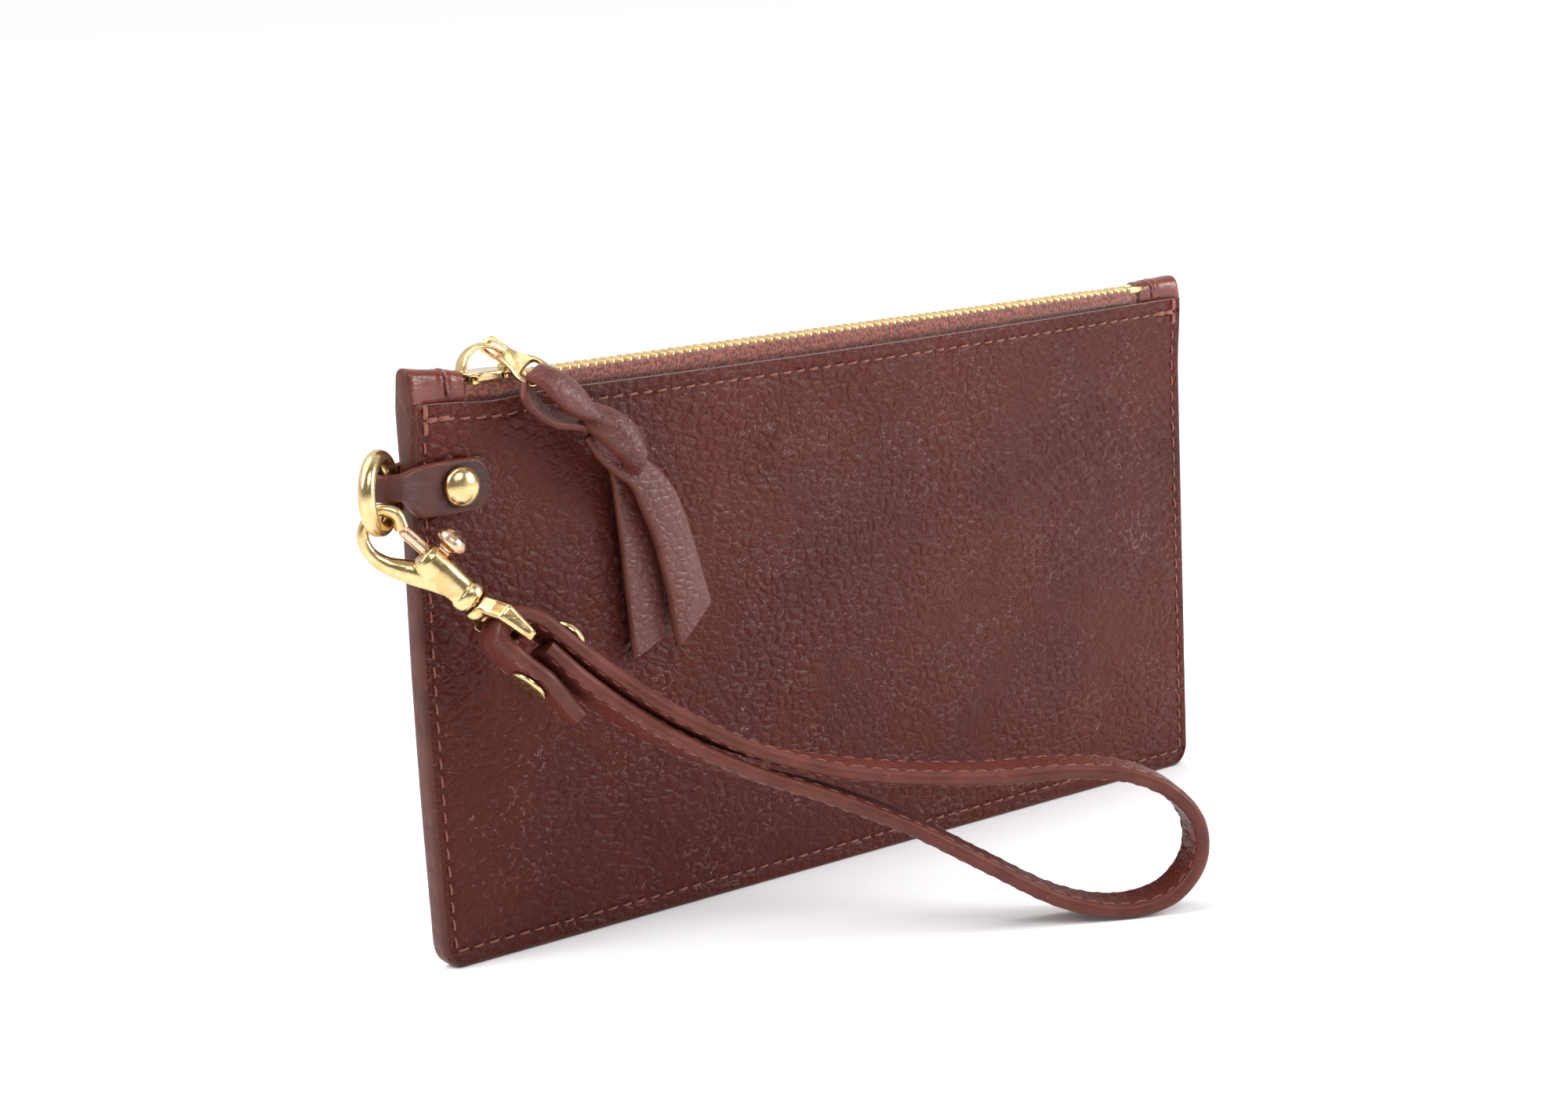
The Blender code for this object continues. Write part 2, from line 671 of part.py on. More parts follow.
# Its route, as (distance out from the ring, height): tail, round the eye's bar, out along the upper
# run, round the hand loop, and back between the two to the sandwiched end.
STRAP_ROUTE = [
    (39.5, 57.0), (32.8, 64.6), (26.1, 70.8), (22.3, 75.9), (25.2, 80.4), (31.2, 79.4),
    (36.7, 74.6), (47.1, 65.2), (58.8, 56.5), (76.4, 47.0), (94.2, 41.2), (112, 37.8), (131, 36.0),
    (152, 35.5), (164, 33.4), (173.5, 28.6), (179.5, 21.0), (179.6, 12.0), (174, 4.8), (166, 2.1),
    (157, 2.5), (146, 6.2), (130, 15.6), (112, 26.4), (94, 34.9), (76, 41.8), (58.6, 50.8),
    (46.5, 59.4), (38.6, 66.4), (32.6, 72.6),
]


def strap_points():
    """Route points and width directions: near the eye the strap is rolled with it, and flat further on."""
    snap = snap_frame()
    axis, across, sideways = (snap.to_3x3().col[i] for i in range(3))
    start = snap.translation / MM
    points, widths = [], []
    for s, z in (Vector(p).to_2d() for p in dense_route()):
        point = hang_point(s, z)
        offset = (point - start).dot(across)
        turn = EYE_ROLL * (1 - ease((s - 38) / 24))
        shift = offset * (across * math.cos(turn) - sideways * math.sin(turn)) - offset * across
        roll = EYE_ROLL * (1 - ease((s - 45) / 65))
        points.append(point + shift)
        widths.append(sideways * math.cos(roll) + across * math.sin(roll))
    return points, widths


def dense_route():
    return smooth_route([(s, z, 0) for s, z in STRAP_ROUTE], 2)


def wrist_strap():
    points, widths = strap_points()
    half = [STRAP_WIDTH / 2] * len(points)
    half[0] = 1.6
    half[1] = 4.4
    bar = eye_frame(snap_frame()) @ Vector((BAR_U * MM, 0, 0)) / MM
    near = STRAP_PLY_GAP / 2
    far = near + STRAP_PLY
    hole = add("strap_rivet_hole", *turned([(1.75, -12), (1.75, 12)], "y", segments=12), frame=rivet_frame())
    for name, low, high in (("strap_outer_ply", near, far), ("strap_inner_ply", -far, -near)):
        ply = add(name, *ribbon(points, widths, half, low, high), "leather", pivot=bar)
        cut(ply, hole)


def rivet_frame():
    """The strap rivet's frame: its second axis runs up through the three stacked lengths of strap."""
    return eye_frame(snap_frame()) @ Matrix.Translation(Vector((21.4, 1.3, 0.0)) * MM)


def strap_rivet():
    frame = rivet_frame()
    top, bottom = 7.0, -7.8
    dome = [(4.4, top), (4.5, top + 0.5), (4.0, top + 1.4), (2.8, top + 2.2), (1.4, top + 2.5)]
    cap = add("strap_rivet_cap", *turned(dome, "y"), "brass", frame)
    cut(cap, add("strap_rivet_well", *turned([(1.7, top - 1), (1.7, top + 1.2)], "y", segments=12), frame=frame))
    post = [(4.4, bottom - 0.9), (4.5, bottom), (1.4, bottom), (1.4, top + 0.8)]
    add("strap_rivet_post", *turned(post, "y", segments=16), "brass", frame)


def main():
    clear_scene()
    panel("front_panel", -1)
    panel("back_panel", 1)
    seam_welt()
    end_tab("left_end_tab", -1, LEFT_TAB_END, 135.2, 133.0)
    end_tab("right_end_tab", 1, RIGHT_TAB_END, 132.9, 132.2)
    for side, word in ((-1, "front"), (1, "back")):
        zip_tape("zip_tape_" + word, side)
        zip_teeth("zip_teeth_" + word, side)
    zip_stops()
    slider_body()
    slider_crown()
    pull = pull_frame()
    pull_tab(pull)
    thong(pull)
    ring_tab()
    tab_rivet()
    ring()
    snap = snap_frame()
    snap_hook_body(snap)
    snap_bolt(snap)
    snap_spring(snap)
    swivel_stud(snap)
    swivel_eye(eye_frame(snap))
    wrist_strap()
    strap_rivet()


main()
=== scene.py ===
"""The looks of the leather zip pouch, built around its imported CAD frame.

Points are worked out in millimetres in the CAD's own axes (+X along the pouch, -Y out of its front,
+Z up), and become metres as each mesh is made.
"""

import math

import bmesh
import bpy
from mathutils import Matrix, Vector, noise


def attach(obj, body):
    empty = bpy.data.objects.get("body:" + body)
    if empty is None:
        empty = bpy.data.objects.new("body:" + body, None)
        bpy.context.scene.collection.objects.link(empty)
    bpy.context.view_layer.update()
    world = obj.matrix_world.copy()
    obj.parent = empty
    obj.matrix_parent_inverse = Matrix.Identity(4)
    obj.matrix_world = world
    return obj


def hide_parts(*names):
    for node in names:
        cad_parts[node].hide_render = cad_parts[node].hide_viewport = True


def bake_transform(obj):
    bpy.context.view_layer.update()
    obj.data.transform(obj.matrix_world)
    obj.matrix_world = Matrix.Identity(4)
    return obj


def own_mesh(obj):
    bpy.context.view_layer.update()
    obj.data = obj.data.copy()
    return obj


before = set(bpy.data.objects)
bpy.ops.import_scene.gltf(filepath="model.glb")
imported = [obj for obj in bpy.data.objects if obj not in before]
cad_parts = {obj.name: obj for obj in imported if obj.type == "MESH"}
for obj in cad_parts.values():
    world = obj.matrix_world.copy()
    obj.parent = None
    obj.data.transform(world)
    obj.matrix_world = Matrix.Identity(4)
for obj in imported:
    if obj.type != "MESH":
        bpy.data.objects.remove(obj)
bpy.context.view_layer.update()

MM = 0.001

# Camera: where it stands, its heading, dip and roll in degrees, and its lens
CAMERA_AT = (-484.66, -557.02, 210.2)
CAMERA_HEADING = 40.061
CAMERA_DIP = 10.173
CAMERA_ROLL = -2.589
CAMERA_LENS = 70.67

# Pouch
WIDTH = 243.4
HEIGHT = 127.0
EDGE_THICKNESS = 5.3
LEATHER = 1.9
CORNER_RADIUS = 5.5
BELLY = 3.0
TOP_FLARE = 1.15
FLARE_HEIGHT = 20.0
MOUTH_SAG = 1.0
SIDE_BOW = 1.2
EDGE_ROUND = 0.9
EDGE_SINK = 0.75
GRID_FINE = 0.32
GRID_COARSE = 0.95

# Stitching
STITCH_PITCH = 4.15
SIDE_ROW = 3.0
TOP_ROW = 3.4
BOTTOM_ROW = 4.1
THREAD_RADIUS = 0.25
NEEDLE_HOLE = 0.42
STITCH_SINK = 0.42
STITCH_SPANS = 5
GROOVE_DEPTH = 0.32
GROOVE_HALF = 0.75
TACK_STEP = 3.3
TACK_RADIUS = 0.36

# Zip
TOOTH_PITCH = 2.47
TOOTH_COUNT = 83
CHAIN_START = -102.0
CHAIN_Z = 130.4
LEFT_TAB_END = -107.2
RIGHT_TAB_END = 106.9
TAB_HALF = 2.78
TAB_ROUND = 2.3
TAB_SEAM_Z = 128.3
TAPE_THICKNESS = 0.4
TAPE_HEM_Z = 117.0
WEAVE_LOW_Z = 124.5
YARN_ROW = 0.62

# A tooth from its heel to its nose: place along it, half width and half height
TOOTH_PROFILE = [
    (-3.25, 0.34, 0.45), (-3.1, 0.56, 0.74), (-2.7, 0.66, 0.86), (-1.5, 0.68, 0.90),
    (-0.6, 0.66, 0.86), (-0.1, 0.58, 0.78), (0.35, 0.50, 0.70), (0.6, 0.30, 0.48),
]

# Slider and pull
SLIDER_LEFT = -106.8
CROWN_CENTRE_X = -100.4
CROWN_HALF_SPAN = 5.8
CROWN_FOOT_Z = 132.5
CROWN_RISE = 5.2
PULL_ON_CROWN = math.radians(50)

# The thong's strips: thickness, crown, steps of the curve, then the two edge lines. They are the loop
# that leaves the slot, the turn under it, the knot's wrap, and the front and back tails.
KNOT_CENTRE = Vector((-74.6, -11.6, 113.6))
THONG_STRIPS = [
    (1.7, 1.2, 6,
     [(-96.2, -10.0, 130.4), (-94.6, -13.0, 128.9), (-91.6, -14.2, 125.2), (-87.2, -14.0, 121.6),
      (-82.0, -13.2, 119.4)],
     [(-91.0, -9.2, 132.6), (-87.6, -10.8, 131.0), (-84.0, -11.8, 128.4), (-81.0, -12.4, 124.4),
      (-78.0, -12.6, 120.6)]),
    (1.8, 0.0, 6,
     [(-96.4, -9.2, 129.6), (-98.0, -11.4, 126.0), (-95.2, -12.2, 122.4), (-90.6, -12.4, 119.6),
      (-85.2, -12.4, 118.5), (-80.4, -12.4, 117.2)],
     [(-91.6, -6.8, 130.8), (-92.4, -7.2, 126.8), (-89.6, -7.0, 123.4), (-85.6, -7.0, 121.2),
      (-81.0, -7.4, 120.2), (-77.0, -8.0, 118.4)]),
    (2.2, 2.4, 7,
     [(-83.0, -10.6, 119.4), (-81.4, -13.4, 116.6), (-77.6, -15.0, 112.4), (-74.2, -14.6, 109.2),
      (-72.4, -12.0, 107.4)],
     [(-76.6, -9.2, 121.8), (-73.2, -12.6, 120.4), (-69.6, -14.0, 117.0), (-68.2, -13.8, 112.6),
      (-68.4, -11.4, 109.0)]),
    (1.8, 0.5, 7,
     [(-81.6, -10.6, 115.2), (-78.8, -11.6, 110.4), (-74.6, -11.8, 106.4), (-70.2, -11.6, 103.1),
      (-67.2, -11.2, 97.0), (-64.2, -11.0, 89.9), (-61.2, -10.8, 78.7), (-58.6, -10.6, 64.2)],
     [(-76.0, -9.0, 119.0), (-72.2, -10.4, 114.6), (-68.0, -11.0, 110.9), (-62.8, -11.0, 107.2),
      (-57.9, -10.8, 101.9), (-54.3, -10.6, 94.5), (-51.4, -10.4, 85.6), (-47.9, -10.2, 73.8)]),
    (1.6, 0.0, 6,
     [(-75.6, -8.6, 112.0), (-72.9, -7.9, 105.4), (-71.9, -7.6, 98.9), (-70.9, -7.5, 88.2),
      (-70.0, -7.4, 76.5), (-68.9, -7.4, 62.8)],
     [(-67.0, -8.4, 111.0), (-63.6, -7.8, 105.0), (-61.6, -7.6, 99.0), (-60.2, -7.5, 88.6),
      (-59.2, -7.4, 77.5), (-58.2, -7.4, 67.4)]),
]

# Hardware and strap, as in the CAD
RING_Z = 109.6
RING_MEAN_RADIUS = 7.6
RING_WIRE_RADIUS = 1.9
RING_CENTRE = Vector((-132.2, -4.55, RING_Z))
FOLD_AXIS_X = -126.1
FOLD_RADIUS = 3.8
TAB_FACE_Y = 3.4
TAB_LEATHER = 1.8
TAB_CENTRE_Z = 108.4
RIVET_X = -111.7
HANG_HEADING = math.radians(-29.5)
SNAP_JOINT_S = 18.45
SNAP_JOINT_Z = 84.85
SNAP_SLOPE = math.radians(-46)
EYE_ROLL = math.radians(25)
BOLT_V = 1.4
SPRING_SEAT = -3.1
BAR_U = 12.0
STRAP_WIDTH = 12.0
STRAP_THICKNESS = 3.7
STRAP_ROW = 4.5
STRAP_SIDES = 16
STRAP_ROUTE = [
    (39.5, 57.0), (32.8, 64.6), (26.1, 70.8), (22.3, 75.9), (25.2, 80.4), (31.2, 79.4),
    (36.7, 74.6), (47.1, 65.2), (58.8, 56.5), (76.4, 47.0), (94.2, 41.2), (112, 37.8), (131, 36.0),
    (152, 35.5), (164, 33.4), (173.5, 28.6), (179.5, 21.0), (179.6, 12.0), (174, 4.8), (166, 2.1),
    (157, 2.5), (146, 6.2), (130, 15.6), (112, 26.4), (94, 34.9), (76, 41.8), (58.6, 50.8),
    (46.5, 59.4), (38.6, 66.4), (32.6, 72.6),
]


# Meshes


def new_mesh(name, verts, faces, materials, which=None, sharp=40):
    """An object from points in millimetres; which holds each face's material number."""
    mesh = bpy.data.meshes.new(name)
    mesh.from_pydata([tuple(c * MM for c in v) for v in verts], [], faces)
    for made in materials:
        mesh.materials.append(made)
    if which is not None:
        mesh.polygons.foreach_set("material_index", which)
    work = bmesh.new()
    work.from_mesh(mesh)
    bmesh.ops.recalc_face_normals(work, faces=work.faces)
    work.to_mesh(mesh)
    work.free()
    mesh.shade_smooth()
    mesh.set_sharp_from_angle(angle=math.radians(sharp))
    obj = bpy.data.objects.new(name, mesh)
    bpy.context.scene.collection.objects.link(obj)
    return obj


def fit(obj, body, slot, *nodes):
    """The piece rides on a body and stands for CAD nodes, which it hides; slot is not used."""
    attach(obj, body)
    if nodes:
        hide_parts(*nodes)
    return obj


def piece(name, part, material, body, slot, *nodes):
    """A mesh of one material that rides on a body."""
    return fit(new_mesh(name, *part, [material]), body, slot, *nodes)


def loft(sections, closed=False):
    """Points and faces of a solid through loops of the same number of points."""
    count = len(sections[0])
    verts = [tuple(point) for section in sections for point in section]
    faces = []
    last = len(sections) - (0 if closed else 1)
    for i in range(last):
        j = (i + 1) % len(sections)
        for k in range(count):
            n = (k + 1) % count
            faces.append((i * count + k, i * count + n, j * count + n, j * count + k))
    if not closed:
        faces.append(tuple(range(count)))
        faces.append(tuple(range(len(verts) - count, len(verts))))
    return verts, faces


def merged(parts):
    """Several (verts, faces) as one."""
    verts, faces = [], []
    for more_verts, more_faces in parts:
        start = len(verts)
        verts.extend(more_verts)
        faces.extend(tuple(start + i for i in face) for face in more_faces)
    return verts, faces


def moved(part, matrix):
    """The part's points carried by a matrix whose shift is in metres."""
    verts, faces = part
    return [tuple((matrix @ (Vector(v) * MM)) / MM) for v in verts], faces


def circle(count):
    """The cosine and sine of count even turns."""
    turns = [2 * math.pi * k / count for k in range(count)]
    return [(math.cos(a), math.sin(a)) for a in turns]


def oval(centre, side, up, half_width, half_height, count):
    """A loop of points about centre, in the plane of two directions."""
    return [centre + side * half_width * c + up * half_height * s for c, s in circle(count)]


def squared(value, power):
    """A cosine or sine pushed out toward 1, which squares a round section."""
    return math.copysign(abs(value) ** power, value)


def turned(profile, along="x", centre=(0, 0, 0), segments=48):
    """A solid turned about a line along x or y: profile holds (radius, distance along the line)."""
    line, side = ((1, 0, 0), (0, 1, 0)) if along == "x" else ((0, 1, 0), (1, 0, 0))
    sections = []
    for radius, height in profile:
        middle = Vector(centre) + Vector(line) * height
        sections.append(oval(middle, Vector(side), Vector((0, 0, 1)), radius, radius, segments))
    return loft(sections)


def dome(radius, base, rise, steps, lip=0.35):
    """A turned profile of a domed cap: its rim, then a rounded crown."""
    lip = math.copysign(lip, rise)
    profile = [(radius - 0.35, base), (radius, base + math.copysign(0.15, rise)), (radius, base + lip)]
    for i in range(steps + 1):
        a = math.radians(88 * (i + 0.6) / (steps + 0.6))
        profile.append((radius * math.cos(a), base + lip + (rise - lip) * math.sin(a)))
    return profile


def smooth_route(points, steps):
    """A centripetal Catmull-Rom curve through points, with steps pieces between neighbours."""
    points = [Vector(p) for p in points]
    padded = [2 * points[0] - points[1], *points, 2 * points[-1] - points[-2]]
    route = []
    for i in range(1, len(padded) - 2):
        p0, p1, p2, p3 = padded[i - 1 : i + 3]
        t1 = math.sqrt((p1 - p0).length)
        t2 = t1 + math.sqrt((p2 - p1).length)
        t3 = t2 + math.sqrt((p3 - p2).length)
        for k in range(steps):
            t = t1 + (t2 - t1) * k / steps
            a1 = p0.lerp(p1, t / t1)
            a2 = p1.lerp(p2, (t - t1) / (t2 - t1))
            a3 = p2.lerp(p3, (t - t2) / (t3 - t2))
            b1 = a1.lerp(a2, t / t2)
            b2 = a2.lerp(a3, (t - t1) / (t3 - t1))
            route.append(b1.lerp(b2, (t - t1) / (t2 - t1)))
    route.append(points[-1])
    return route


def tangents(route):
    """The direction of a route at each of its points."""
    last = len(route) - 1
    return [(route[min(i + 1, last)] - route[max(i - 1, 0)]).normalized() for i in range(last + 1)]


def spread(values, place):
    """The value at a fractional place in a list."""
    low = min(int(place), len(values) - 2)
    return values[low] + (values[low + 1] - values[low]) * (place - low)


def ease(t):
    """A smooth step from 0 to 1."""
    t = min(max(t, 0.0), 1.0)
    return t * t * (3 - 2 * t)


def mirrored(half):
    """A closed outline from its upper half."""
    return half + [(u, -v) for u, v in reversed(half)]


def modified(obj, kind, **settings):
    """Adds a modifier with its settings."""
    modifier = obj.modifiers.new(kind.lower(), kind)
    for key, value in settings.items():
        setattr(modifier, key, value)
    return modifier


def apply_modifiers(obj):
    """The evaluated mesh becomes the object's own."""
    graph = bpy.context.evaluated_depsgraph_get()
    mesh = bpy.data.meshes.new_from_object(obj.evaluated_get(graph))
    obj.modifiers.clear()
    obj.data = mesh
    return obj


def cast(name, parts, material, voxel, rounds):
    """Overlapping solids fused and softened into one body, as a cast piece is."""
    obj = new_mesh(name, *merged(parts), [material])
    modified(obj, "REMESH", mode="VOXEL", voxel_size=voxel * MM)
    modified(obj, "SMOOTH", factor=0.5, iterations=rounds)
    apply_modifiers(obj)
    obj.data.materials.clear()
    obj.data.materials.append(material)
    obj.data.shade_smooth()
    return obj


def carve(obj, cutters, material):
    """Cuts each (verts, faces) out of the object."""
    helpers = []
    for i, cutter in enumerate(cutters):
        helper = new_mesh(f"{obj.name}_cutter_{i}", *cutter, [material])
        helpers.append(helper)
        modified(obj, "BOOLEAN", operation="DIFFERENCE", object=helper)
    bpy.context.view_layer.update()
    apply_modifiers(obj)
    for helper in helpers:
        bpy.data.objects.remove(helper, do_unlink=True)
    obj.data.shade_smooth()
    obj.data.set_sharp_from_angle(angle=math.radians(50))
    return obj


# Materials


class Nodes:
    """A short way to wire a material's nodes."""

    def __init__(self, name):
        self.material = bpy.data.materials.new(name)
        self.material.use_nodes = True
        self.tree = self.material.node_tree
        self.shader = self.tree.nodes["Principled BSDF"]
        self.place = self.add("ShaderNodeTexCoord").outputs["Object"]

    def add(self, kind, inputs=None, **settings):
        """A node with its settings; inputs holds a value or a socket for each input that is set."""
        node = self.tree.nodes.new(kind)
        for key, value in settings.items():
            setattr(node, key, value)
        for key, value in (inputs or {}).items():
            self.link(value, node.inputs[key])
        return node

    def link(self, value, socket):
        if hasattr(value, "links"):
            self.tree.links.new(value, socket)
        else:
            socket.default_value = value

    def stretched(self, scale, turn=(0, 0, 0)):
        rotation = [math.radians(a) for a in turn]
        inputs = {"Vector": self.place, "Scale": scale, "Rotation": rotation}
        return self.add("ShaderNodeMapping", inputs).outputs["Vector"]

    def noise(self, scale, detail=3, rough=0.5, vector=None, distortion=0.0):
        inputs = {"Vector": vector or self.place, "Scale": scale, "Detail": detail}
        inputs.update({"Roughness": rough, "Distortion": distortion})
        return self.add("ShaderNodeTexNoise", inputs).outputs["Fac"]

    def cells(self, scale, vector):
        """How far a point is from the edge of its cell."""
        inputs = {"Vector": vector, "Scale": scale}
        return self.add("ShaderNodeTexVoronoi", inputs, feature="DISTANCE_TO_EDGE").outputs["Distance"]

    def bands(self, scale, distortion):
        """Slanting bands, for thread and woven tape."""
        inputs = {"Vector": self.place, "Scale": scale, "Distortion": distortion}
        node = self.add("ShaderNodeTexWave", inputs, wave_type="BANDS", bands_direction="DIAGONAL")
        return node.outputs["Fac"]

    def warp(self, vector, scale, amount):
        """The coordinates pushed about by noise, in metres."""
        push = self.add("ShaderNodeTexNoise", {"Vector": vector, "Scale": scale}).outputs["Color"]
        centred = self.add("ShaderNodeVectorMath", {0: push, 1: (0.5, 0.5, 0.5)}, operation="SUBTRACT")
        sized = {0: centred.outputs[0], "Scale": amount}
        sized = self.add("ShaderNodeVectorMath", sized, operation="SCALE")
        total = {0: vector, 1: sized.outputs[0]}
        return self.add("ShaderNodeVectorMath", total, operation="ADD").outputs[0]

    def math(self, operation, a, b):
        return self.add("ShaderNodeMath", {0: a, 1: b}, operation=operation).outputs[0]

    def times(self, a, b):
        return self.math("MULTIPLY", a, b)

    def plus(self, total, extra, share):
        """The total with a share of something more."""
        return self.math("ADD", total, self.times(extra, share))

    def ramp(self, value, low, high, to_low=0.0, to_high=1.0):
        """A smooth step from to_low to to_high as the value goes from low to high."""
        inputs = {"Value": value, "From Min": low, "From Max": high, "To Min": to_low, "To Max": to_high}
        node = self.add("ShaderNodeMapRange", inputs, interpolation_type="SMOOTHSTEP")
        return node.outputs["Result"]

    def patches(self, scale, detail, low, high):
        """A value that wanders between low and high."""
        return self.ramp(self.noise(scale, detail), 0.3, 0.7, low, high)

    def mix(self, amount, a, b):
        """A blend of two colours; each one is a socket or (red, green, blue)."""
        a, b = ((*colour, 1) if isinstance(colour, tuple) else colour for colour in (a, b))
        inputs = {"Factor": amount, "A": a, "B": b}
        return self.add("ShaderNodeMix", inputs, data_type="RGBA").outputs["Result"]

    def mottled(self, dark, light, noise, low, high):
        """Dark where the noise is below low, light where it is above high."""
        return self.mix(self.ramp(noise, low, high), dark, light)

    def bump(self, height, distance):
        return self.add("ShaderNodeBump", {"Height": height, "Distance": distance}).outputs["Normal"]

    def finish(self, colour, roughness, normal=None, **extra):
        """Wires the shader and gives the material; extra names other inputs of the shader."""
        self.link(colour, self.shader.inputs["Base Color"])
        self.link(roughness, self.shader.inputs["Roughness"])
        if normal is not None:
            self.link(normal, self.shader.inputs["Normal"])
        for key, value in extra.items():
            self.shader.inputs[key.replace("_", " ")].default_value = value
        return self.material


def grained_leather(name, dark, light, cell=410.0, depth=0.00042, shine=0.17):
    """Pebbled leather: puffed cells of two sizes, folded creases with painted shade, painted glints on their
    lips, and fine pores.
    """
    n = Nodes(name)
    sloped = n.stretched((0.72, 1.0, 1.0), (0, 22, 0))
    pebbles = n.cells(cell, n.warp(sloped, 130, 0.0030))
    small = n.cells(cell * 2.1, n.warp(sloped, 380, 0.0012))
    puffs = n.math("POWER", n.ramp(pebbles, -0.08, 0.40), 0.8)
    height = n.times(puffs, n.ramp(n.noise(30, 2), 0.36, 0.62, 0.35, 1.0))
    height = n.plus(height, n.ramp(small, 0.0, 0.30), 0.16)
    height = n.plus(height, n.noise(210, 2, 0.5, sloped, 0.3), 0.5)
    height = n.plus(height, n.noise(2600, 2, 0.6), 0.08)
    colour = n.mottled(dark, light, n.noise(18, 3, 0.55), 0.32, 0.68)
    # Painted shade: the bottoms of the creases are darkened toward near-black.
    fold = n.ramp(pebbles, 0.0, 0.05, 1.0, 0.0)
    colour = n.mix(n.times(fold, 0.28), colour, (0.012, 0.004, 0.004))
    # Painted glints: patches of each crease's lip turn pinkish white, standing in for the highlights that
    # light makes there.
    lip = n.times(n.ramp(pebbles, 0.03, 0.06), n.ramp(pebbles, 0.07, 0.12, 1.0, 0.0))
    wear_and_glint = n.times(lip, n.ramp(n.noise(700, 2), 0.53, 0.63))
    wear_and_glint = n.times(wear_and_glint, n.ramp(n.noise(55, 2), 0.34, 0.70))
    colour = n.mix(n.times(wear_and_glint, 0.6), colour, (0.30, 0.17, 0.16))
    roughness = n.patches(600, 3, 0.34, 0.48)
    return n.finish(colour, roughness, n.bump(height, depth), Specular_IOR_Level=shine)


def smooth_leather(name, dark, light, rough, shine):
    """Polished leather with only faint creases and pores."""
    n = Nodes(name)
    wrinkles = n.noise(380, 4, 0.65, n.stretched((0.5, 1.0, 1.6)), 0.4)
    height = n.plus(wrinkles, n.noise(2200, 2), 0.2)
    colour = n.mottled(dark, light, n.noise(90), 0.35, 0.65)
    roughness = n.patches(500, 3, rough, rough + 0.14)
    return n.finish(colour, roughness, n.bump(height, 0.00022), Specular_IOR_Level=shine)


def painted_edge(name, dark, light):
    """Edge paint: a soft satin film with slow waves and a few nicks."""
    n = Nodes(name)
    nicks = n.ramp(n.noise(900, 2), 0.66, 0.74)
    height = n.plus(n.noise(140, vector=n.stretched((1.0, 1.0, 0.4))), nicks, -0.25)
    colour = n.mottled(dark, light, n.noise(120), 0.3, 0.7)
    colour = n.mix(n.times(nicks, 0.35), colour, (0.24, 0.09, 0.06))
    roughness = n.patches(420, 2, 0.36, 0.5)
    return n.finish(colour, roughness, n.bump(height, 0.00016), Specular_IOR_Level=0.28)


def raw_edge(name):
    """A cut leather edge: matt, fibrous and a little paler."""
    n = Nodes(name)
    fibres = n.noise(1500, 4, 0.7, n.stretched((0.35, 2.0, 1.0)))
    colour = n.mottled((0.075, 0.028, 0.025), (0.22, 0.12, 0.115), fibres, 0.35, 0.65)
    return n.finish(colour, 0.85, n.bump(fibres, 0.0002), Sheen_Weight=0.35)


def woven_tape(name):
    """Dull woven cloth, with a haze of loose fibres."""
    n = Nodes(name)
    height = n.math("ADD", n.bands(900, 1.6), n.noise(3000, 2))
    colour = n.mottled((0.085, 0.017, 0.010), (0.27, 0.075, 0.050), n.noise(1200), 0.35, 0.65)
    return n.finish(colour, 0.72, n.bump(height, 0.00006), Sheen_Weight=0.5, Sheen_Roughness=0.4)


def spun_thread(name, dark, light):
    """Waxed thread, whose plies show as slanting bands."""
    n = Nodes(name)
    ply = n.bands(1100, 1.0)
    return n.finish(n.mix(ply, dark, light), 0.55, n.bump(ply, 0.00006), Sheen_Weight=0.3)


def polished_metal(name, colour, wear_and_glint, rough=0.16):
    """Tumbled cast metal: soft waves, hairline scratches and slightly darker patches."""
    n = Nodes(name)
    streaks = n.noise(1900, 3, 0.6, n.stretched((0.2, 1.0, 2.6), (20, 35, 10)))
    scratches = n.ramp(streaks, 0.55, 0.75)
    height = n.plus(n.noise(260, 2), scratches, 0.06)
    mixed = n.mottled(colour, wear_and_glint, n.noise(330, 4), 0.35, 0.75)
    roughness = n.plus(n.patches(700, 3, rough, rough + 0.10), scratches, 0.08)
    return n.finish(mixed, roughness, n.bump(height, 0.00010), Metallic=1.0)


def plain_matt(name, colour, roughness):
    """One dull colour with a fine mottle."""
    n = Nodes(name)
    shade = tuple(c * 0.6 for c in colour)
    return n.finish(n.mix(n.noise(900, 2), colour, shade), roughness)


LEATHER_PANEL = grained_leather("pebbled_leather", (0.057, 0.0070, 0.0044), (0.080, 0.0108, 0.0070))
LEATHER_STRAP = grained_leather(
    "strap_leather", (0.080, 0.0150, 0.0090), (0.115, 0.0250, 0.0165), 640, 0.00020)
LEATHER_THONG = grained_leather(
    "thong_leather", (0.084, 0.0160, 0.0115), (0.120, 0.0280, 0.0220), 520, 0.00020, 0.45)
LEATHER_TAB = smooth_leather("tab_leather", (0.045, 0.0110, 0.0090), (0.075, 0.0190, 0.0150), 0.34, 0.3)
LEATHER_END = smooth_leather("end_tab_leather", (0.100, 0.0110, 0.0050), (0.185, 0.0280, 0.0140), 0.20, 0.55)
EDGE_DARK = painted_edge("body_edge_paint", (0.052, 0.0110, 0.0070), (0.085, 0.0205, 0.0140))
EDGE_LIGHT = painted_edge("strap_edge_paint", (0.082, 0.0175, 0.0105), (0.125, 0.0310, 0.0205))
RAW_EDGE = raw_edge("cut_edge")
TAPE = woven_tape("zip_tape_weave")
THREAD = spun_thread("waxed_thread", (0.13, 0.028, 0.013), (0.30, 0.080, 0.042))
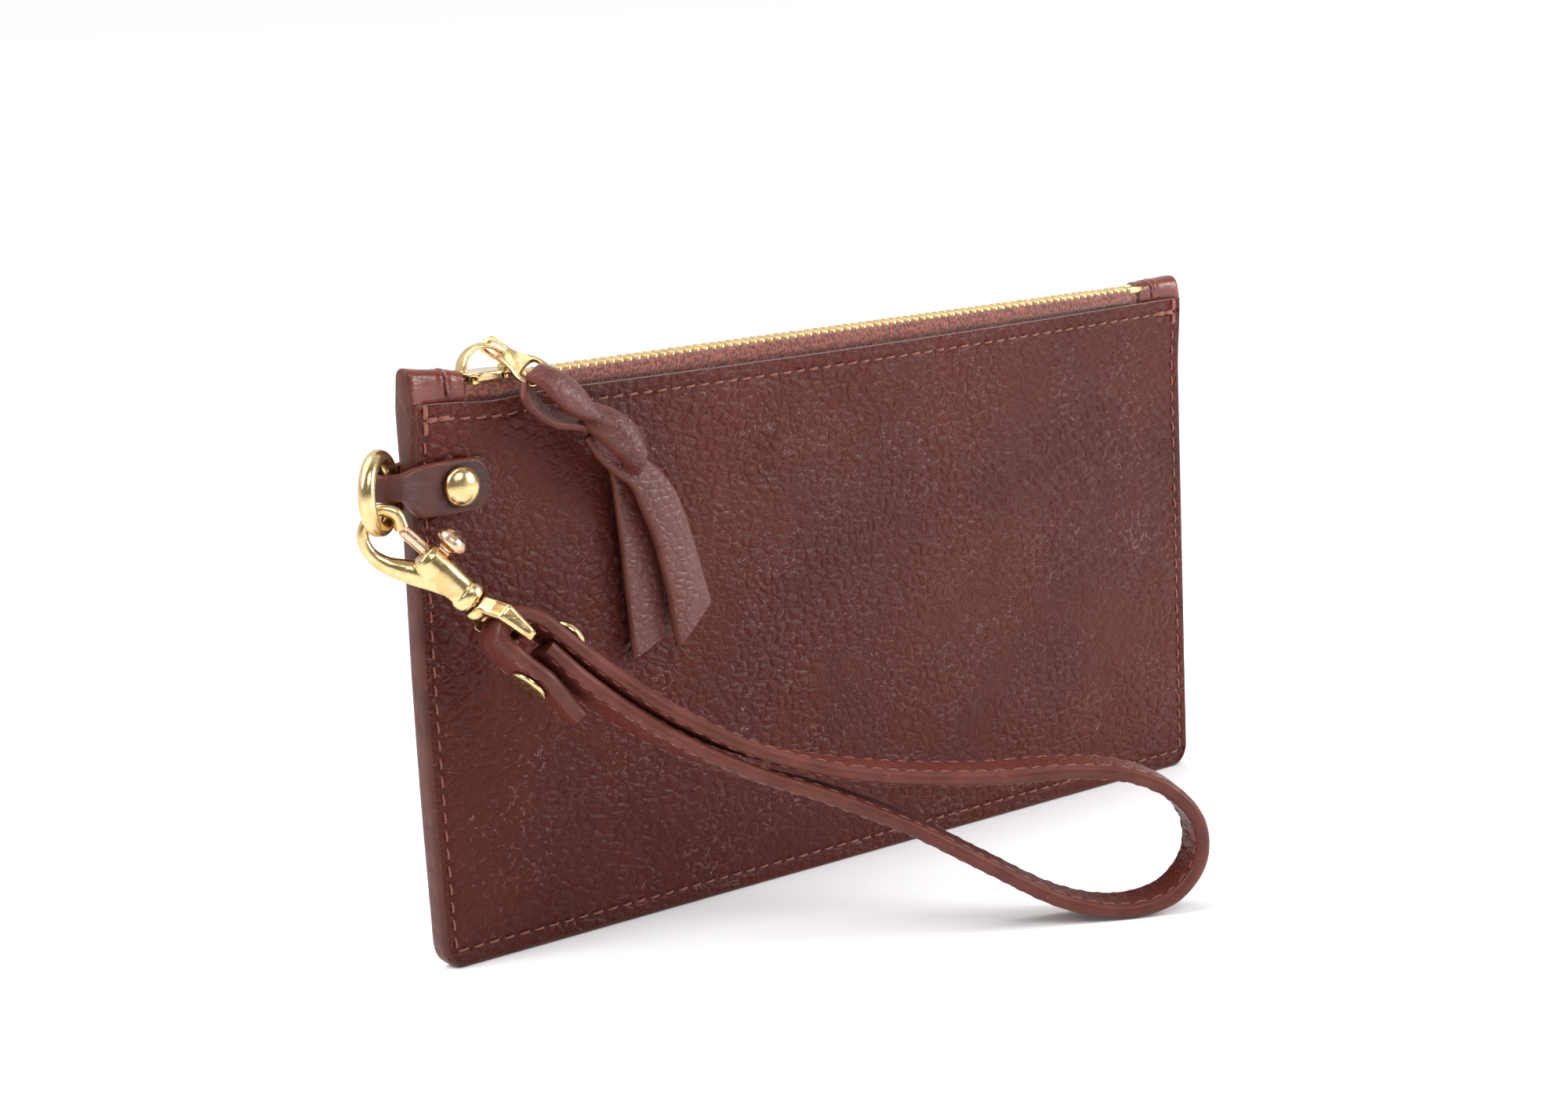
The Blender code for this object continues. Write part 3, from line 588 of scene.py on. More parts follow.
# Painted shade: the near-black colour of the shallow hole dishes stands in for the shade inside each needle
# hole.
HOLE = plain_matt("needle_hole", (0.006, 0.003, 0.003), 0.9)
BRASS = polished_metal("cast_brass", (0.72, 0.53, 0.27), (0.54, 0.37, 0.16))
ZIP_BRASS = polished_metal("zip_brass", (0.78, 0.55, 0.24), (0.62, 0.40, 0.15), 0.2)
COPPER = polished_metal("bolt_bronze", (0.76, 0.52, 0.36), (0.62, 0.40, 0.26), 0.2)
STEEL = polished_metal("spring_steel", (0.60, 0.60, 0.60), (0.45, 0.45, 0.45), 0.3)


# Pouch surface


def panel_face(x, z):
    """How far a panel's outer face stands from the middle plane."""
    up = z / HEIGHT
    rise = math.sin(math.pi * up) if up < 0.5 else 1 - 0.62 * ease((up - 0.5) * 2)
    belly = BELLY * (1 - min(1.0, (2 * x / WIDTH) ** 2)) * rise
    flare = TOP_FLARE * ease((z - HEIGHT + FLARE_HEIGHT) / FLARE_HEIGHT)
    return EDGE_THICKNESS / 2 + flare + belly


def half_width_at(z):
    """Half of the pouch's width at a height, where its lower corners are rounded."""
    if z >= CORNER_RADIUS:
        return WIDTH / 2
    drop = CORNER_RADIUS - z
    return WIDTH / 2 - CORNER_RADIUS + math.sqrt(max(0.0, CORNER_RADIUS**2 - drop**2))


def side_at(z, side):
    """The x of the pouch's side at a height: the left one bows out a little."""
    bow = SIDE_BOW * math.sin(math.pi * min(z / HEIGHT, 1.0)) if side < 0 else 0.0
    return side * (half_width_at(z) + bow)


def mouth_height(x):
    """The panel's top edge, which sags between its corners and most beside the left tab."""
    across = 2 * x / WIDTH
    sag = MOUTH_SAG * (1 - across**2) + 0.9 * math.exp(-(((x + 101) / 10) ** 2))
    return HEIGHT - sag


def row_distance(x, z):
    """How far a point of the panel is from its nearest line of stitching."""
    left = abs(x - side_at(max(z, CORNER_RADIUS), -1) - SIDE_ROW)
    right = abs(side_at(max(z, CORNER_RADIUS), 1) - SIDE_ROW - x)
    top = abs(mouth_height(x) - TOP_ROW - z)
    return min(left, right, top, abs(z - BOTTOM_ROW))


def relief(x, z, side):
    """Small rises and hollows of the leather, and the groove that the stitches pull in."""
    edge = min(x - side_at(z, -1), side_at(z, 1) - x, mouth_height(x) - z, z)
    open_field = ease((edge - 3.0) / 9.0)
    broad = noise.noise(Vector((x / 34, z / 26, 3.1 * side))) * 0.45
    ripple = noise.noise(Vector((x / 7.5 + z / 11, z / 15 - x / 26, 7.7 * side))) * 0.12
    pebble = noise.voronoi(Vector((x / 2.5 + z / 7, z / 3.9 - x / 12, 5.0 * side)))[0]
    grain = (min(pebble[1] - pebble[0], 0.35) - 0.2) * 0.20
    groove = GROOVE_DEPTH * math.exp(-((row_distance(x, z) / GROOVE_HALF) ** 2))
    return open_field * (broad + ripple + grain) - groove


def marks(low, high, reach):
    """Places from low to high: a fine step within reach of either end and a coarse one between."""
    places = [low]
    while places[-1] < high - GRID_FINE * 0.5:
        here = places[-1]
        near = min(here - low, high - here)
        places.append(min(high, here + (GRID_FINE if near < reach else GRID_COARSE)))
    places[-1] = high
    return places


def panel(name, side):
    """One leather panel: its outer face, its lining and its edges, with a raw top edge."""
    half = WIDTH / 2
    columns = [x / half for x in marks(-half, half, 4.6)]
    rows = [z / HEIGHT for z in marks(0.0, HEIGHT, 5.4)]
    outer, inner = [], []
    for share in rows:
        for across in columns:
            low_z = share * HEIGHT
            edge = 1 if across > 0 else -1
            x = abs(across) * side_at(low_z, edge)
            z = share * mouth_height(x)
            rim = min(abs(side_at(z, edge) - x), z)
            roll = 1 - min(rim / EDGE_ROUND, 1.0)
            face = panel_face(x, z)
            y = face + relief(x, z, side) - EDGE_SINK * (1 - math.sqrt(max(0.0, 1 - roll**2)))
            outer.append((x, side * y, z))
            inner.append((x, side * (face - LEATHER), z))
    row = len(columns)
    count = len(outer)
    faces = []
    for j in range(len(rows) - 1):
        for i in range(row - 1):
            a = j * row + i
            faces.append((a, a + 1, a + 1 + row, a + row))
            faces.append((count + a + row, count + a + 1 + row, count + a + 1, count + a))
    which = [0] * len(faces)
    top = (len(rows) - 1) * row
    rim = list(range(row - 1)) + [j * row + row - 1 for j in range(len(rows) - 1)]
    rim += [top + row - 1 - i for i in range(row - 1)] + [top - j * row for j in range(len(rows) - 1)]
    for a, b in zip(rim, rim[1:] + rim[:1]):
        faces.append((a, b, count + b, count + a))
        which.append(1 if min(a, b) >= top else 2)
    obj = new_mesh(name, outer + inner, faces, [LEATHER_PANEL, RAW_EDGE, EDGE_DARK], which, 50)
    fit(obj, "pouch", "leather", name.replace("_leather", "_panel"))


def edge_path():
    """Points (x, z) down the left side, along the bottom and up the right, with their way out."""
    levels = [HEIGHT - (HEIGHT - CORNER_RADIUS) * i / 63 for i in range(64)]
    path = [(side_at(z, -1), z, -1.0, 0.0) for z in levels]
    for sign, turns in ((-1, range(185, 270, 6)), (1, range(272, 360, 6))):
        for turn in turns:
            a = math.radians(turn)
            x = sign * (WIDTH / 2 - CORNER_RADIUS) + CORNER_RADIUS * math.cos(a)
            path.append((x, CORNER_RADIUS * (1 + math.sin(a)), math.cos(a), math.sin(a)))
    return path + [(side_at(z, 1), z, 1.0, 0.0) for z in reversed(levels)]


def edge_band():
    """The painted edge that closes both panels and the welt, down one side, along and up the other."""
    sections = []
    for x, z, out_x, out_z in edge_path():
        half = panel_face(WIDTH / 2, z) + 0.05
        section = []
        for k in range(17):
            a = math.radians(-90 + 180 * k / 16)
            y = half * squared(math.sin(a), 0.82)
            out = -0.95 + 1.1 * max(0.0, math.cos(a)) ** 0.55
            if out_z < -0.5:
                out = min(out, 0.06 + z)
            out += 0.05 * noise.noise(Vector((x / 9, y / 3, z / 9)))
            section.append((x + out * out_x, y, max(0.0, z + out * out_z)))
        sections.append(section)
    obj = new_mesh("edge_band", *loft(sections), [EDGE_DARK], None, 60)
    fit(obj, "pouch", "edge_leather", "seam_welt")


# Stitches


def stitch(start, end, normal, radius=THREAD_RADIUS, lift=0.24):
    """One stitch: a thread that rises out of one hole and dives into the next."""
    start, end, normal = Vector(start), Vector(end), Vector(normal).normalized()
    side = (end - start).normalized().cross(normal)
    sections = []
    for i in range(STITCH_SPANS + 1):
        t = i / STITCH_SPANS
        arch = math.sin(math.pi * t)
        centre = start.lerp(end, t) + normal * ((lift + STITCH_SINK) * arch**0.4 - STITCH_SINK)
        thick = radius * (0.62 + 0.38 * arch**0.5)
        sections.append(oval(centre, side, normal, thick * 1.15, thick, 8))
    return loft(sections)


def needle_hole(centre, normal, along, radius=NEEDLE_HOLE):
    """The mouth of a hole: a shallow sunk dish, which its near-black material paints with the hole's shade.
    """
    centre, normal, along = Vector(centre), Vector(normal).normalized(), Vector(along).normalized()
    side = along.cross(normal)
    sections = []
    for reach, height in ((1.0, -0.3), (1.0, 0.06), (0.6, 0.0), (0.1, -0.06)):
        size = radius * reach
        sections.append(oval(centre + normal * height, along, side, size * 1.15, size * 0.85, 8))
    return loft(sections)


def stitched_line(points, normals, radius=THREAD_RADIUS, slant=0.12, lift=0.24, hole=NEEDLE_HOLE):
    """Stitches between neighbouring holes, and the holes."""
    threads, holes = [], []
    for a, b, normal in zip(points, points[1:], normals):
        along = (b - a).normalized()
        inset = along * NEEDLE_HOLE + along.cross(normal) * slant
        threads.append(stitch(a + inset, b - inset, normal, radius, lift))
        holes.append(needle_hole(a, normal, along, hole))
    holes.append(needle_hole(points[-1], normals[-1], points[-1] - points[-2], hole))
    return threads, holes


def sewn(thread_name, threads, hole_name, holes, body, slot):
    """The thread and the holes of a seam as two pieces."""
    piece(thread_name, merged(threads), THREAD, body, slot)
    piece(hole_name, merged(holes), HOLE, body, slot)


def on_panel(x, z, side):
    """A point of the panel's outer face."""
    return Vector((x, side * (panel_face(x, z) + relief(x, z, side)), z))


def panel_normal(x, z, side):
    """The panel's outward direction, without its small relief."""
    dx = panel_face(x + 1, z) - panel_face(x - 1, z)
    dz = panel_face(x, z + 1) - panel_face(x, z - 1)
    return Vector((-dx / 2, side, -dz / 2)).normalized()


def evenly(low, high, pitch):
    """Places from low to high, as near to the pitch as fits a whole number of steps."""
    count = max(1, round(abs(high - low) / pitch))
    return [low + (high - low) * i / count for i in range(count + 1)]


def panel_stitching(side, word):
    """Rows along the mouth, both sides and the bottom, doubled where they cross at the top corners."""
    left_top, right_top = -WIDTH / 2 + SIDE_ROW, WIDTH / 2 - SIDE_ROW
    lines = [[(x, mouth_height(x) - TOP_ROW) for x in evenly(left_top, right_top, STITCH_PITCH)]]
    lines.append([(x, BOTTOM_ROW) for x in evenly(left_top - 0.2, right_top, STITCH_PITCH)])
    for edge in (-1, 1):
        heights = evenly(BOTTOM_ROW, HEIGHT - TOP_ROW, STITCH_PITCH)
        lines.append([(side_at(z, edge) - edge * SIDE_ROW, z) for z in heights])
    threads, holes = [], []
    for line in lines:
        points = [on_panel(x, z, side) for x, z in line]
        normals = [panel_normal(x, z, side) for x, z in line]
        more_threads, more_holes = stitched_line(points, normals)
        threads += more_threads
        holes += more_holes
    threads += corner_tacks(left_top, -1, side) + corner_tacks(right_top, 1, side)
    sewn("stitches_" + word, threads, "needle_holes_" + word, holes, "pouch", "leather")


def corner_tacks(row_x, edge, side):
    """Thicker back-tacked stitches at a top corner, and one that goes over the panel's top edge."""
    tacks = []
    row_z = mouth_height(row_x) - TOP_ROW
    steps = [row_x - edge * i * TACK_STEP for i in range(3)]
    for shift in (0.25, -0.25):
        near, far = row_z + shift, row_z + shift * 0.4
        spans = [((steps[0], near), (steps[1], far)), ((steps[1], near), (steps[2], far))]
        spans.append(((row_x + shift, row_z), (row_x + shift * 0.4, row_z - 3.6)))
        for (x0, z0), (x1, z1) in spans:
            start, end = on_panel(x0, z0, side), on_panel(x1, z1, side)
            tacks.append(stitch(start, end, panel_normal(row_x, row_z, side), TACK_RADIUS, 0.38))
        foot = on_panel(row_x + shift, row_z, side)
        crest = Vector((row_x + shift, side * (panel_face(row_x, HEIGHT) - 0.2), mouth_height(row_x) + 0.15))
        tacks.append(stitch(foot, crest, (0, side, 0.25), TACK_RADIUS, 0.42))
    return tacks


# End tabs


def tab_outline(top, grow):
    """A folded tab's section, as (y, z): legs between the panels, then a round-topped body."""
    right = [(0.9, 116.0), (1.6, 125.6), (TAB_HALF + grow, HEIGHT + 0.4)]
    for i in range(9):
        a = math.radians(90 * i / 8)
        reach = TAB_ROUND + grow
        right.append((TAB_HALF - TAB_ROUND + reach * math.cos(a), top - TAB_ROUND + reach * math.sin(a)))
    return right + [(-y, z) for y, z in reversed(right)]


def end_tab(name, side, inner_end, outer_top, inner_top, groove_x):
    """Glossy leather folded over a zip end: painted outer end, stitched groove, cut inner end."""
    outer = side * (WIDTH / 2 + 0.15)
    length = abs(outer - inner_end)
    stations = [0.0, 0.06, 0.2, 0.5, 0.9] + [1.3 + (length - 2.0) * i / 26 for i in range(27)]
    stations += [length - 0.45, length - 0.2, length - 0.06, length]
    sections = []
    for far in stations:
        x = outer - side * far
        top = outer_top + (inner_top - outer_top) * (far / length) ** 0.8
        grow = -0.75 * (1 - min(far / 0.9, 1.0)) ** 2.2
        grow -= 0.30 * (1 - min((length - far) / 0.45, 1.0)) ** 2
        from_groove = x - groove_x
        grow -= 0.34 * math.exp(-((from_groove / 0.55) ** 2))
        grow += 0.16 * math.exp(-(((abs(from_groove) - 1.3) / 0.7) ** 2))
        section = []
        for y, z in tab_outline(top, grow):
            y *= 1 + ease(1 - far / 5) / TAB_HALF * ease((132.5 - z) / 6)
            wave = 0.10 * noise.noise(Vector((x / 4, y / 3, z / 3))) if z > HEIGHT + 0.3 else 0.0
            section.append((x, y * (1 + wave * 0.3), z + wave))
        sections.append(section)
    verts, faces = loft(sections)
    painted = 3 * len(sections[0])
    which = [2 if i < painted else 0 for i in range(len(faces) - 2)] + [2, 1]
    obj = new_mesh(name + "_leather", verts, faces, [LEATHER_END, RAW_EDGE, EDGE_DARK], which, 50)
    fit(obj, "pouch", "edge_leather", name)
    tab_stitches(name, groove_x, (outer_top + inner_top) / 2)


def tab_stitches(name, x, top):
    """Thread laid in the tab's groove, over its top and down both faces."""
    threads = []
    half = [(3.0, TAB_SEAM_Z), (3.02, top - 2.5), (1.9, top - 0.35)]
    route = half + [(-y, z) for y, z in reversed(half)]
    for (y0, z0), (y1, z1) in zip(route, route[1:]):
        up = (z0 + z1) / 2 - top + 2.5
        normal = (0, (y0 + y1) / 2, max(up, 0.0))
        threads.append(stitch((x - 0.1, y0, z0), (x + 0.15, y1, z1), normal, 0.26, 0.02))
    holes = [needle_hole((x, y, TAB_SEAM_Z + 0.1), (0, y, 0), (0, 0, 1), 0.4) for y in (-2.62, 2.62)]
    sewn(name + "_thread", threads, name + "_holes", holes, "pouch", "edge_leather")


# Zip


def tape_line(x):
    """The tape's section, as (y, z), from its hem inside the panel to its bead in the teeth."""
    wall = panel_face(x, HEIGHT) - LEATHER - 0.3
    hem = panel_face(x, TAPE_HEM_Z) - LEATHER - 0.3
    lip = mouth_height(x) + 0.2
    open_end = min(ease((x - LEFT_TAB_END) / 8), ease((RIGHT_TAB_END - x) / 8))
    belly = 2.1 + 1.85 * open_end
    line = [(hem, TAPE_HEM_Z), (wall, lip - 1.5), (wall, lip), (belly, 128.3), (belly - 0.2, 129.6)]
    return line + [(min(3.1, belly - 0.5), 130.35), (1.0, CHAIN_Z)]


def weave(x, run):
    """Raised yarns in rows that lean alternate ways."""
    row = math.floor(run / YARN_ROW)
    across = run / YARN_ROW - row
    lean = 0.32 * across * (1 if row % 2 else -1)
    yarn = 0.5 + 0.5 * math.sin(2 * math.pi * (x / 1.05 + 0.5 * (row % 2) + lean))
    return 0.20 * math.sin(math.pi * across) ** 0.6 * (0.3 + 0.7 * yarn)


def tape_strip(side, low_x, high_x):
    """A stretch of tape as a closed strip: woven outside, plain inside."""
    count = int((high_x - low_x) / 0.21)
    sections = []
    for i in range(count + 1):
        x = low_x + (high_x - low_x) * i / count
        line = smooth_route([(y, z, 0) for y, z in tape_line(x)], 5)
        directions = tangents(line)
        run = 0.0
        outer, inner = [], []
        for k, (point, along) in enumerate(zip(line, directions)):
            run += (point - line[k - 1]).length if k else 0.0
            out = Vector((along.y, -along.x, 0))
            height = weave(x, run) if point.y > WEAVE_LOW_Z else 0.0
            far = point + out * height
            near = point - out * TAPE_THICKNESS
            outer.append((x, side * far.x, far.y))
            inner.append((x, side * near.x, near.y))
        sections.append(outer + list(reversed(inner)))
    return loft(sections)


def tooth(side):
    """One tooth, about its own middle: a clenched body over the bead and a rounded nose that meshes."""
    sections = []
    for y, half_x, half_z in TOOTH_PROFILE:
        section = []
        for c, s in circle(12):
            section.append((half_x * squared(c, 0.6), -side * y, half_z * squared(s, 0.6)))
        sections.append(section)
    return loft(sections)


def zip_side(side, word):
    """The tape and teeth of one side, each cut at the middle into a left and a right half."""
    shift = 0.25 if side < 0 else 0.75
    verts, faces = tooth(side)
    left = (LEFT_TAB_END - 1.5, 0.0, -104.0, -66.0)
    right = (0.0, RIGHT_TAB_END + 1.5, 92.0, 54.0)
    for half, (low, high, fixed_x, free_x) in (("left", left), ("right", right)):
        tape = new_mesh(f"zip_tape_{word}_{half}", *tape_strip(side, low, high), [TAPE], None, 180)
        teeth = []
        for i in range(TOOTH_COUNT):
            x = CHAIN_START + (i + shift) * TOOTH_PITCH
            if low <= x < high:
                rise = CHAIN_Z + 0.06 * noise.noise(Vector((x, side, 0.5)))
                teeth.append(([(vx + x, vy, vz + rise) for vx, vy, vz in verts], faces))
        rack = new_mesh(f"zip_teeth_{word}_{half}", *merged(teeth), [ZIP_BRASS])
        for part, slot, node in ((tape, "tape", "zip_tape_" + word), (rack, "brass", "zip_teeth_" + word)):
            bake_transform(part)
            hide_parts(node)


def bevel_levels(low, high, bevel, second):
    """(height, inset) for each loop of a slab with rounded edges; second is the second loop's share."""
    lower = [(low, bevel), (low + bevel * second, bevel * 0.3), (low + bevel, 0.0)]
    return lower + [(low + high - z, inset) for z, inset in reversed(lower)]


def rounded_box(low, high, radius=0.3):
    """A box with its edges and corners taken off."""
    x0, y0, z0 = low
    x1, y1, z1 = high
    corners = ((x1 - radius, y1 - radius, 0), (x0 + radius, y1 - radius, 90))
    corners += ((x0 + radius, y0 + radius, 180), (x1 - radius, y0 + radius, 270))
    sections = []
    for z, inset in bevel_levels(z0, z1, radius, 0.3):
        section = []
        for x, y, start in corners:
            for k in range(4):
                a = math.radians(start + 30 * k)
                section.append((x + (radius - inset) * math.cos(a), y + (radius - inset) * math.sin(a), z))
        sections.append(section)
    return loft(sections)


def zip_stops():
    """A stop on each row of teeth at the slider's end, and one box across both at the other."""
    for word, side in (("front", -1), ("back", 1)):
        y0, y1 = sorted((side * 1.2, side * 3.0))
        stop = rounded_box((-105.2, y0, 129.7), (-102.8, y1, 131.2))
        piece(f"top_stop_{word}", stop, ZIP_BRASS, "pouch", "brass", "zip_top_stop_" + word)
    box = rounded_box((103.3, -2.7, 129.6), (108.4, 2.7, 131.3), 0.6)
    rib = rounded_box((103.9, -0.35, 130.6), (107.9, 0.35, 131.7), 0.3)
    piece("bottom_stop", merged([box, rib]), ZIP_BRASS, "pouch", "brass", "zip_bottom_stop")


# Slider and pull


def plate(outline, low, high, bevel=0.22):
    """A flat plate whose top and bottom edges are rounded, from an outline about its own middle."""
    middle = Vector((sum(x for x, _ in outline), sum(y for _, y in outline), 0)) / len(outline)
    sections = []
    for z, inset in bevel_levels(low, high, bevel, 0.4):
        section = []
        for x, y in outline:
            away = Vector((x, y, 0)) - middle
            section.append(middle + away - away.normalized() * inset + Vector((0, 0, z)))
        sections.append(section)
    return loft(sections)


def softened(points, steps=6):
    """A closed outline as a smooth curve through its points."""
    padded = points[-2:] + points + points[:2]
    route = smooth_route([(x, y, 0) for x, y in padded], steps)
    return [(p.x, p.y) for p in route[2 * steps : (2 + len(points)) * steps]]


def slider():
    """The slider's two plates, divider, side flanges and crown feet in one casting, and its crown."""
    left = SLIDER_LEFT
    half = [(0.0, 0.0), (0.3, 2.6), (1.6, 4.2), (4.5, 4.55), (8.2, 4.3), (11.2, 3.4), (12.9, 2.1)]
    half.append((13.2, 0.0))
    outline = softened(half + [(x, -y) for x, y in reversed(half[1:-1])])
    outline = [(left + x, y) for x, y in outline]
    under = [(left + 0.9 + (x - left) * 0.86, y * 0.42) for x, y in outline]
    parts = [plate(outline, 131.45, 132.35, 0.28), plate(under, 128.4, 129.2, 0.25)]
    parts.append(rounded_box((left + 0.3, -0.7, 128.7), (left + 2.3, 0.7, 131.9)))
    for y0, y1 in ((-4.5, -3.72), (3.72, 4.5)):
        parts.append(rounded_box((left + 1.9, y0, 130.4), (left + 8.4, y1, 132.0)))
    for foot in (-1, 1):
        x = CROWN_CENTRE_X + foot * CROWN_HALF_SPAN
        parts.append(rounded_box((x - 1.0, -1.7, 131.8), (x + 1.0, 1.7, 133.0), 0.45))
    fit(cast("slider_casting", parts, BRASS, 0.13, 3), "slider", "brass", "slider_body")
    piece("crown_band", crown_band(), BRASS, "slider", "brass", "slider_crown")


def crown_point(turn, grow=0.0):
    """A point of the crown's arch, or of one that stands further out."""
    x = CROWN_CENTRE_X + (CROWN_HALF_SPAN + grow) * math.cos(turn)
    return Vector((x, 0, CROWN_FOOT_Z + (CROWN_RISE + grow) * math.sin(turn)))


def crown_band():
    """A polished strip bent over the slider: flat inside, crowned outside, wider at its feet."""
    sections = []
    for i in range(49):
        turn = math.pi * i / 48
        width = 1.45 + 0.35 * abs(math.cos(turn)) ** 3
        out = (crown_point(turn, 1) - crown_point(turn, -1)).normalized()
        section = []
        for c, s in circle(16):
            side = Vector((0, width * squared(c, 0.55), 0))
            section.append(crown_point(turn) + side + out * 0.58 * squared(s, 0.6))
        sections.append(section)
    return loft(sections)


def frame_of(origin, x, y, z):
    """A frame at origin, in millimetres, from three unit axes."""
    turn = Matrix((x, y, z)).transposed().to_4x4()
    return Matrix.Translation(origin * MM) @ turn


def pull_frame():
    """Where the pull hangs on the crown: down its length, across it and out of its face."""
    along = Vector((0.36, -0.80, -0.48)).normalized()
    across = Vector((0.80, 0.0, 0.60))
    across = (across - along * across.dot(along)).normalized()
    return frame_of(crown_point(PULL_ON_CROWN), along, across, along.cross(across))


def pull():
    """The slotted pull: a waisted, bevelled tab with an eye on the crown and a slot for the thong."""
    here = pull_frame()
    half = [(-3.5, 0.9), (-3.1, 1.9), (-1.0, 2.15), (3.0, 1.95), (6.0, 2.5), (8.4, 3.4), (12.2, 3.45)]
    half += [(13.3, 2.5), (13.6, 1.0)]
    tab = plate(softened(mirrored(half), 5), -0.62, 0.62, 0.3)
    obj = new_mesh("pull_tab_cast", *moved(tab, here), [BRASS], None, 35)
    eye = [(-2.3, 0.8), (-1.5, 1.4), (1.3, 1.4), (2.1, 0.8)]
    slot = [(8.3, 1.9), (8.9, 2.6), (10.5, 2.6), (11.1, 1.9)]
    cutters = []
    for hole in (eye, slot):
        outline = softened(mirrored(hole))
        cutters.append(moved(loft([[(u, v, w) for u, v in outline] for w in (-2, 2)]), here))
    carve(obj, cutters, BRASS)
    fit(obj, "pull", "brass", "pull_tab")


# Leather strips


def strip(lefts, rights, thickness, crowned, steps, bulge, sides=10):
    """A strip of leather between two edge lines: flat faces, rounded painted edges.

    bulge gives a point's lift from its place along, its place across and whether it is on top.
    """
    left_route = smooth_route(lefts, steps)
    right_route = smooth_route(rights, steps)
    middle = [(a + b) / 2 for a, b in zip(left_route, right_route)]
    sections = []
    for i, (a, b, along) in enumerate(zip(left_route, right_route, tangents(middle))):
        across = (b - a).normalized()
        normal = along.cross(across).normalized()
        half = (b - a).length / 2
        points = []
        for u, w in strip_section(half, thickness, sides):
            share = u / max(half, 0.1)
            lift = crowned * (1 - share**2) + bulge(i / (len(middle) - 1), share, w > 0)
            points.append(middle[i] + across * u + normal * (w + lift))
        sections.append(points)
    return strip_solid(sections, sides)


def strip_section(half, thickness, sides):
    """A rounded oblong: sides points across each face and five round each edge."""
    rise = thickness / 2
    turn_in = min(rise * 0.8, half * 0.4)
    flat = [(-half + turn_in + 2 * (half - turn_in) * k / (sides - 1), rise) for k in range(sides)]
    right = []
    for k in range(1, 6):
        a = math.radians(90 - 30 * k)
        right.append((half - turn_in + turn_in * math.cos(a), rise * math.sin(a)))
    under = [(-u, -w) for u, w in flat]
    left = [(-u, -w) for u, w in right]
    return flat + right + under + left


def strip_solid(sections, sides):
    """Points, faces and each face's material: 0 on the faces, 1 on the painted edges and the ends."""
    verts, faces = loft(sections)
    count = len(sections[0])
    right, left = range(sides - 1, sides + 5), range(2 * sides + 4, 2 * sides + 10)
    which = [int(i % count in right or i % count in left) for i in range(len(faces) - 2)]
    return verts, faces, which + [1, 1]


def wrinkle(t, u, up):
    """The thong's soft folds."""
    return 0.16 * noise.noise(Vector((t * 14, u * 2.2, 3.0 + up)))


def thong():
    """The thong: out through the pull's slot, knotted on itself, with two cut tails."""
    parts = [knot_core()]
    for thickness, crowned, steps, lefts, rights in THONG_STRIPS:
        parts.append(strip(lefts, rights, thickness, crowned, steps, wrinkle))
    verts, faces = merged([part[:2] for part in parts])
    which = [number for part in parts for number in part[2]]
    obj = new_mesh("thong_leather_strip", verts, faces, [LEATHER_THONG, EDGE_LIGHT], which, 60)
    fit(obj, "thong", "leather", "pull_thong")


def knot_core():
    """The lump of turned leather inside the knot."""
    turns = [math.pi * (i + 0.5) / 13 for i in range(13)]
    lump = turned([(4.1 * math.sin(a), -6.6 * math.cos(a)) for a in turns], segments=24)
    tilt = Matrix.Translation(KNOT_CENTRE * MM) @ Matrix.Rotation(math.radians(46), 4, "Y")
    verts, faces = moved(lump, tilt @ Matrix.Diagonal((1, 0.62, 1, 1)))
    return verts, faces, [0] * len(faces)


# Ring tab, rivets and ring


def ring_tab():
    """The tab that holds the ring: folded round it, with a round end and creases beside the rivet."""
    centre_y = TAB_FACE_Y + TAB_LEATHER / 2
    fold = FOLD_RADIUS + TAB_LEATHER / 2
    front = [(-103.6, 0.6), (-103.9, 2.4), (-104.6, 3.8), (-105.9, 5.1), (-107.8, 5.9), (-110.0, 6.0)]
    front += [(-115.0, 6.0), (-119.5, 5.9), (-122.5, 5.5)]
    stations = [(x, -centre_y, -half, half) for x, half in front]
    for turn in range(262, 97, -12):
        a = math.radians(turn)
        stations.append((FOLD_AXIS_X + fold * math.cos(a), fold * math.sin(a), -1.4, 4.7))
    stations += [(x, centre_y, -half, half) for x, half in reversed(front)]
    lefts = [(x, y, TAB_CENTRE_Z + low) for x, y, low, _ in stations]
    rights = [(x, y, TAB_CENTRE_Z + high) for x, y, _, high in stations]
    verts, faces, which = strip(lefts, rights, TAB_LEATHER, 0.0, 6, crease, 14)
    obj = new_mesh("ring_tab_leather", verts, faces, [LEATHER_TAB, EDGE_LIGHT], which, 50)
    fit(obj, "pouch", "leather", "ring_tab")


def crease(t, u, up):
    """Rays and a ridge where the ring tab bends beside its rivet, on both faces alike."""
    near = min(abs(t - 0.19), abs(t - 0.81))
    ray = math.sin(26 * u + 9 * t) * noise.noise(Vector((t * 40, u * 3, 1.7)))
    return (0.24 * ray if near < 0.16 else 0.0) + 0.10 * math.exp(-((near / 0.035) ** 2)) * (1 - u * u)


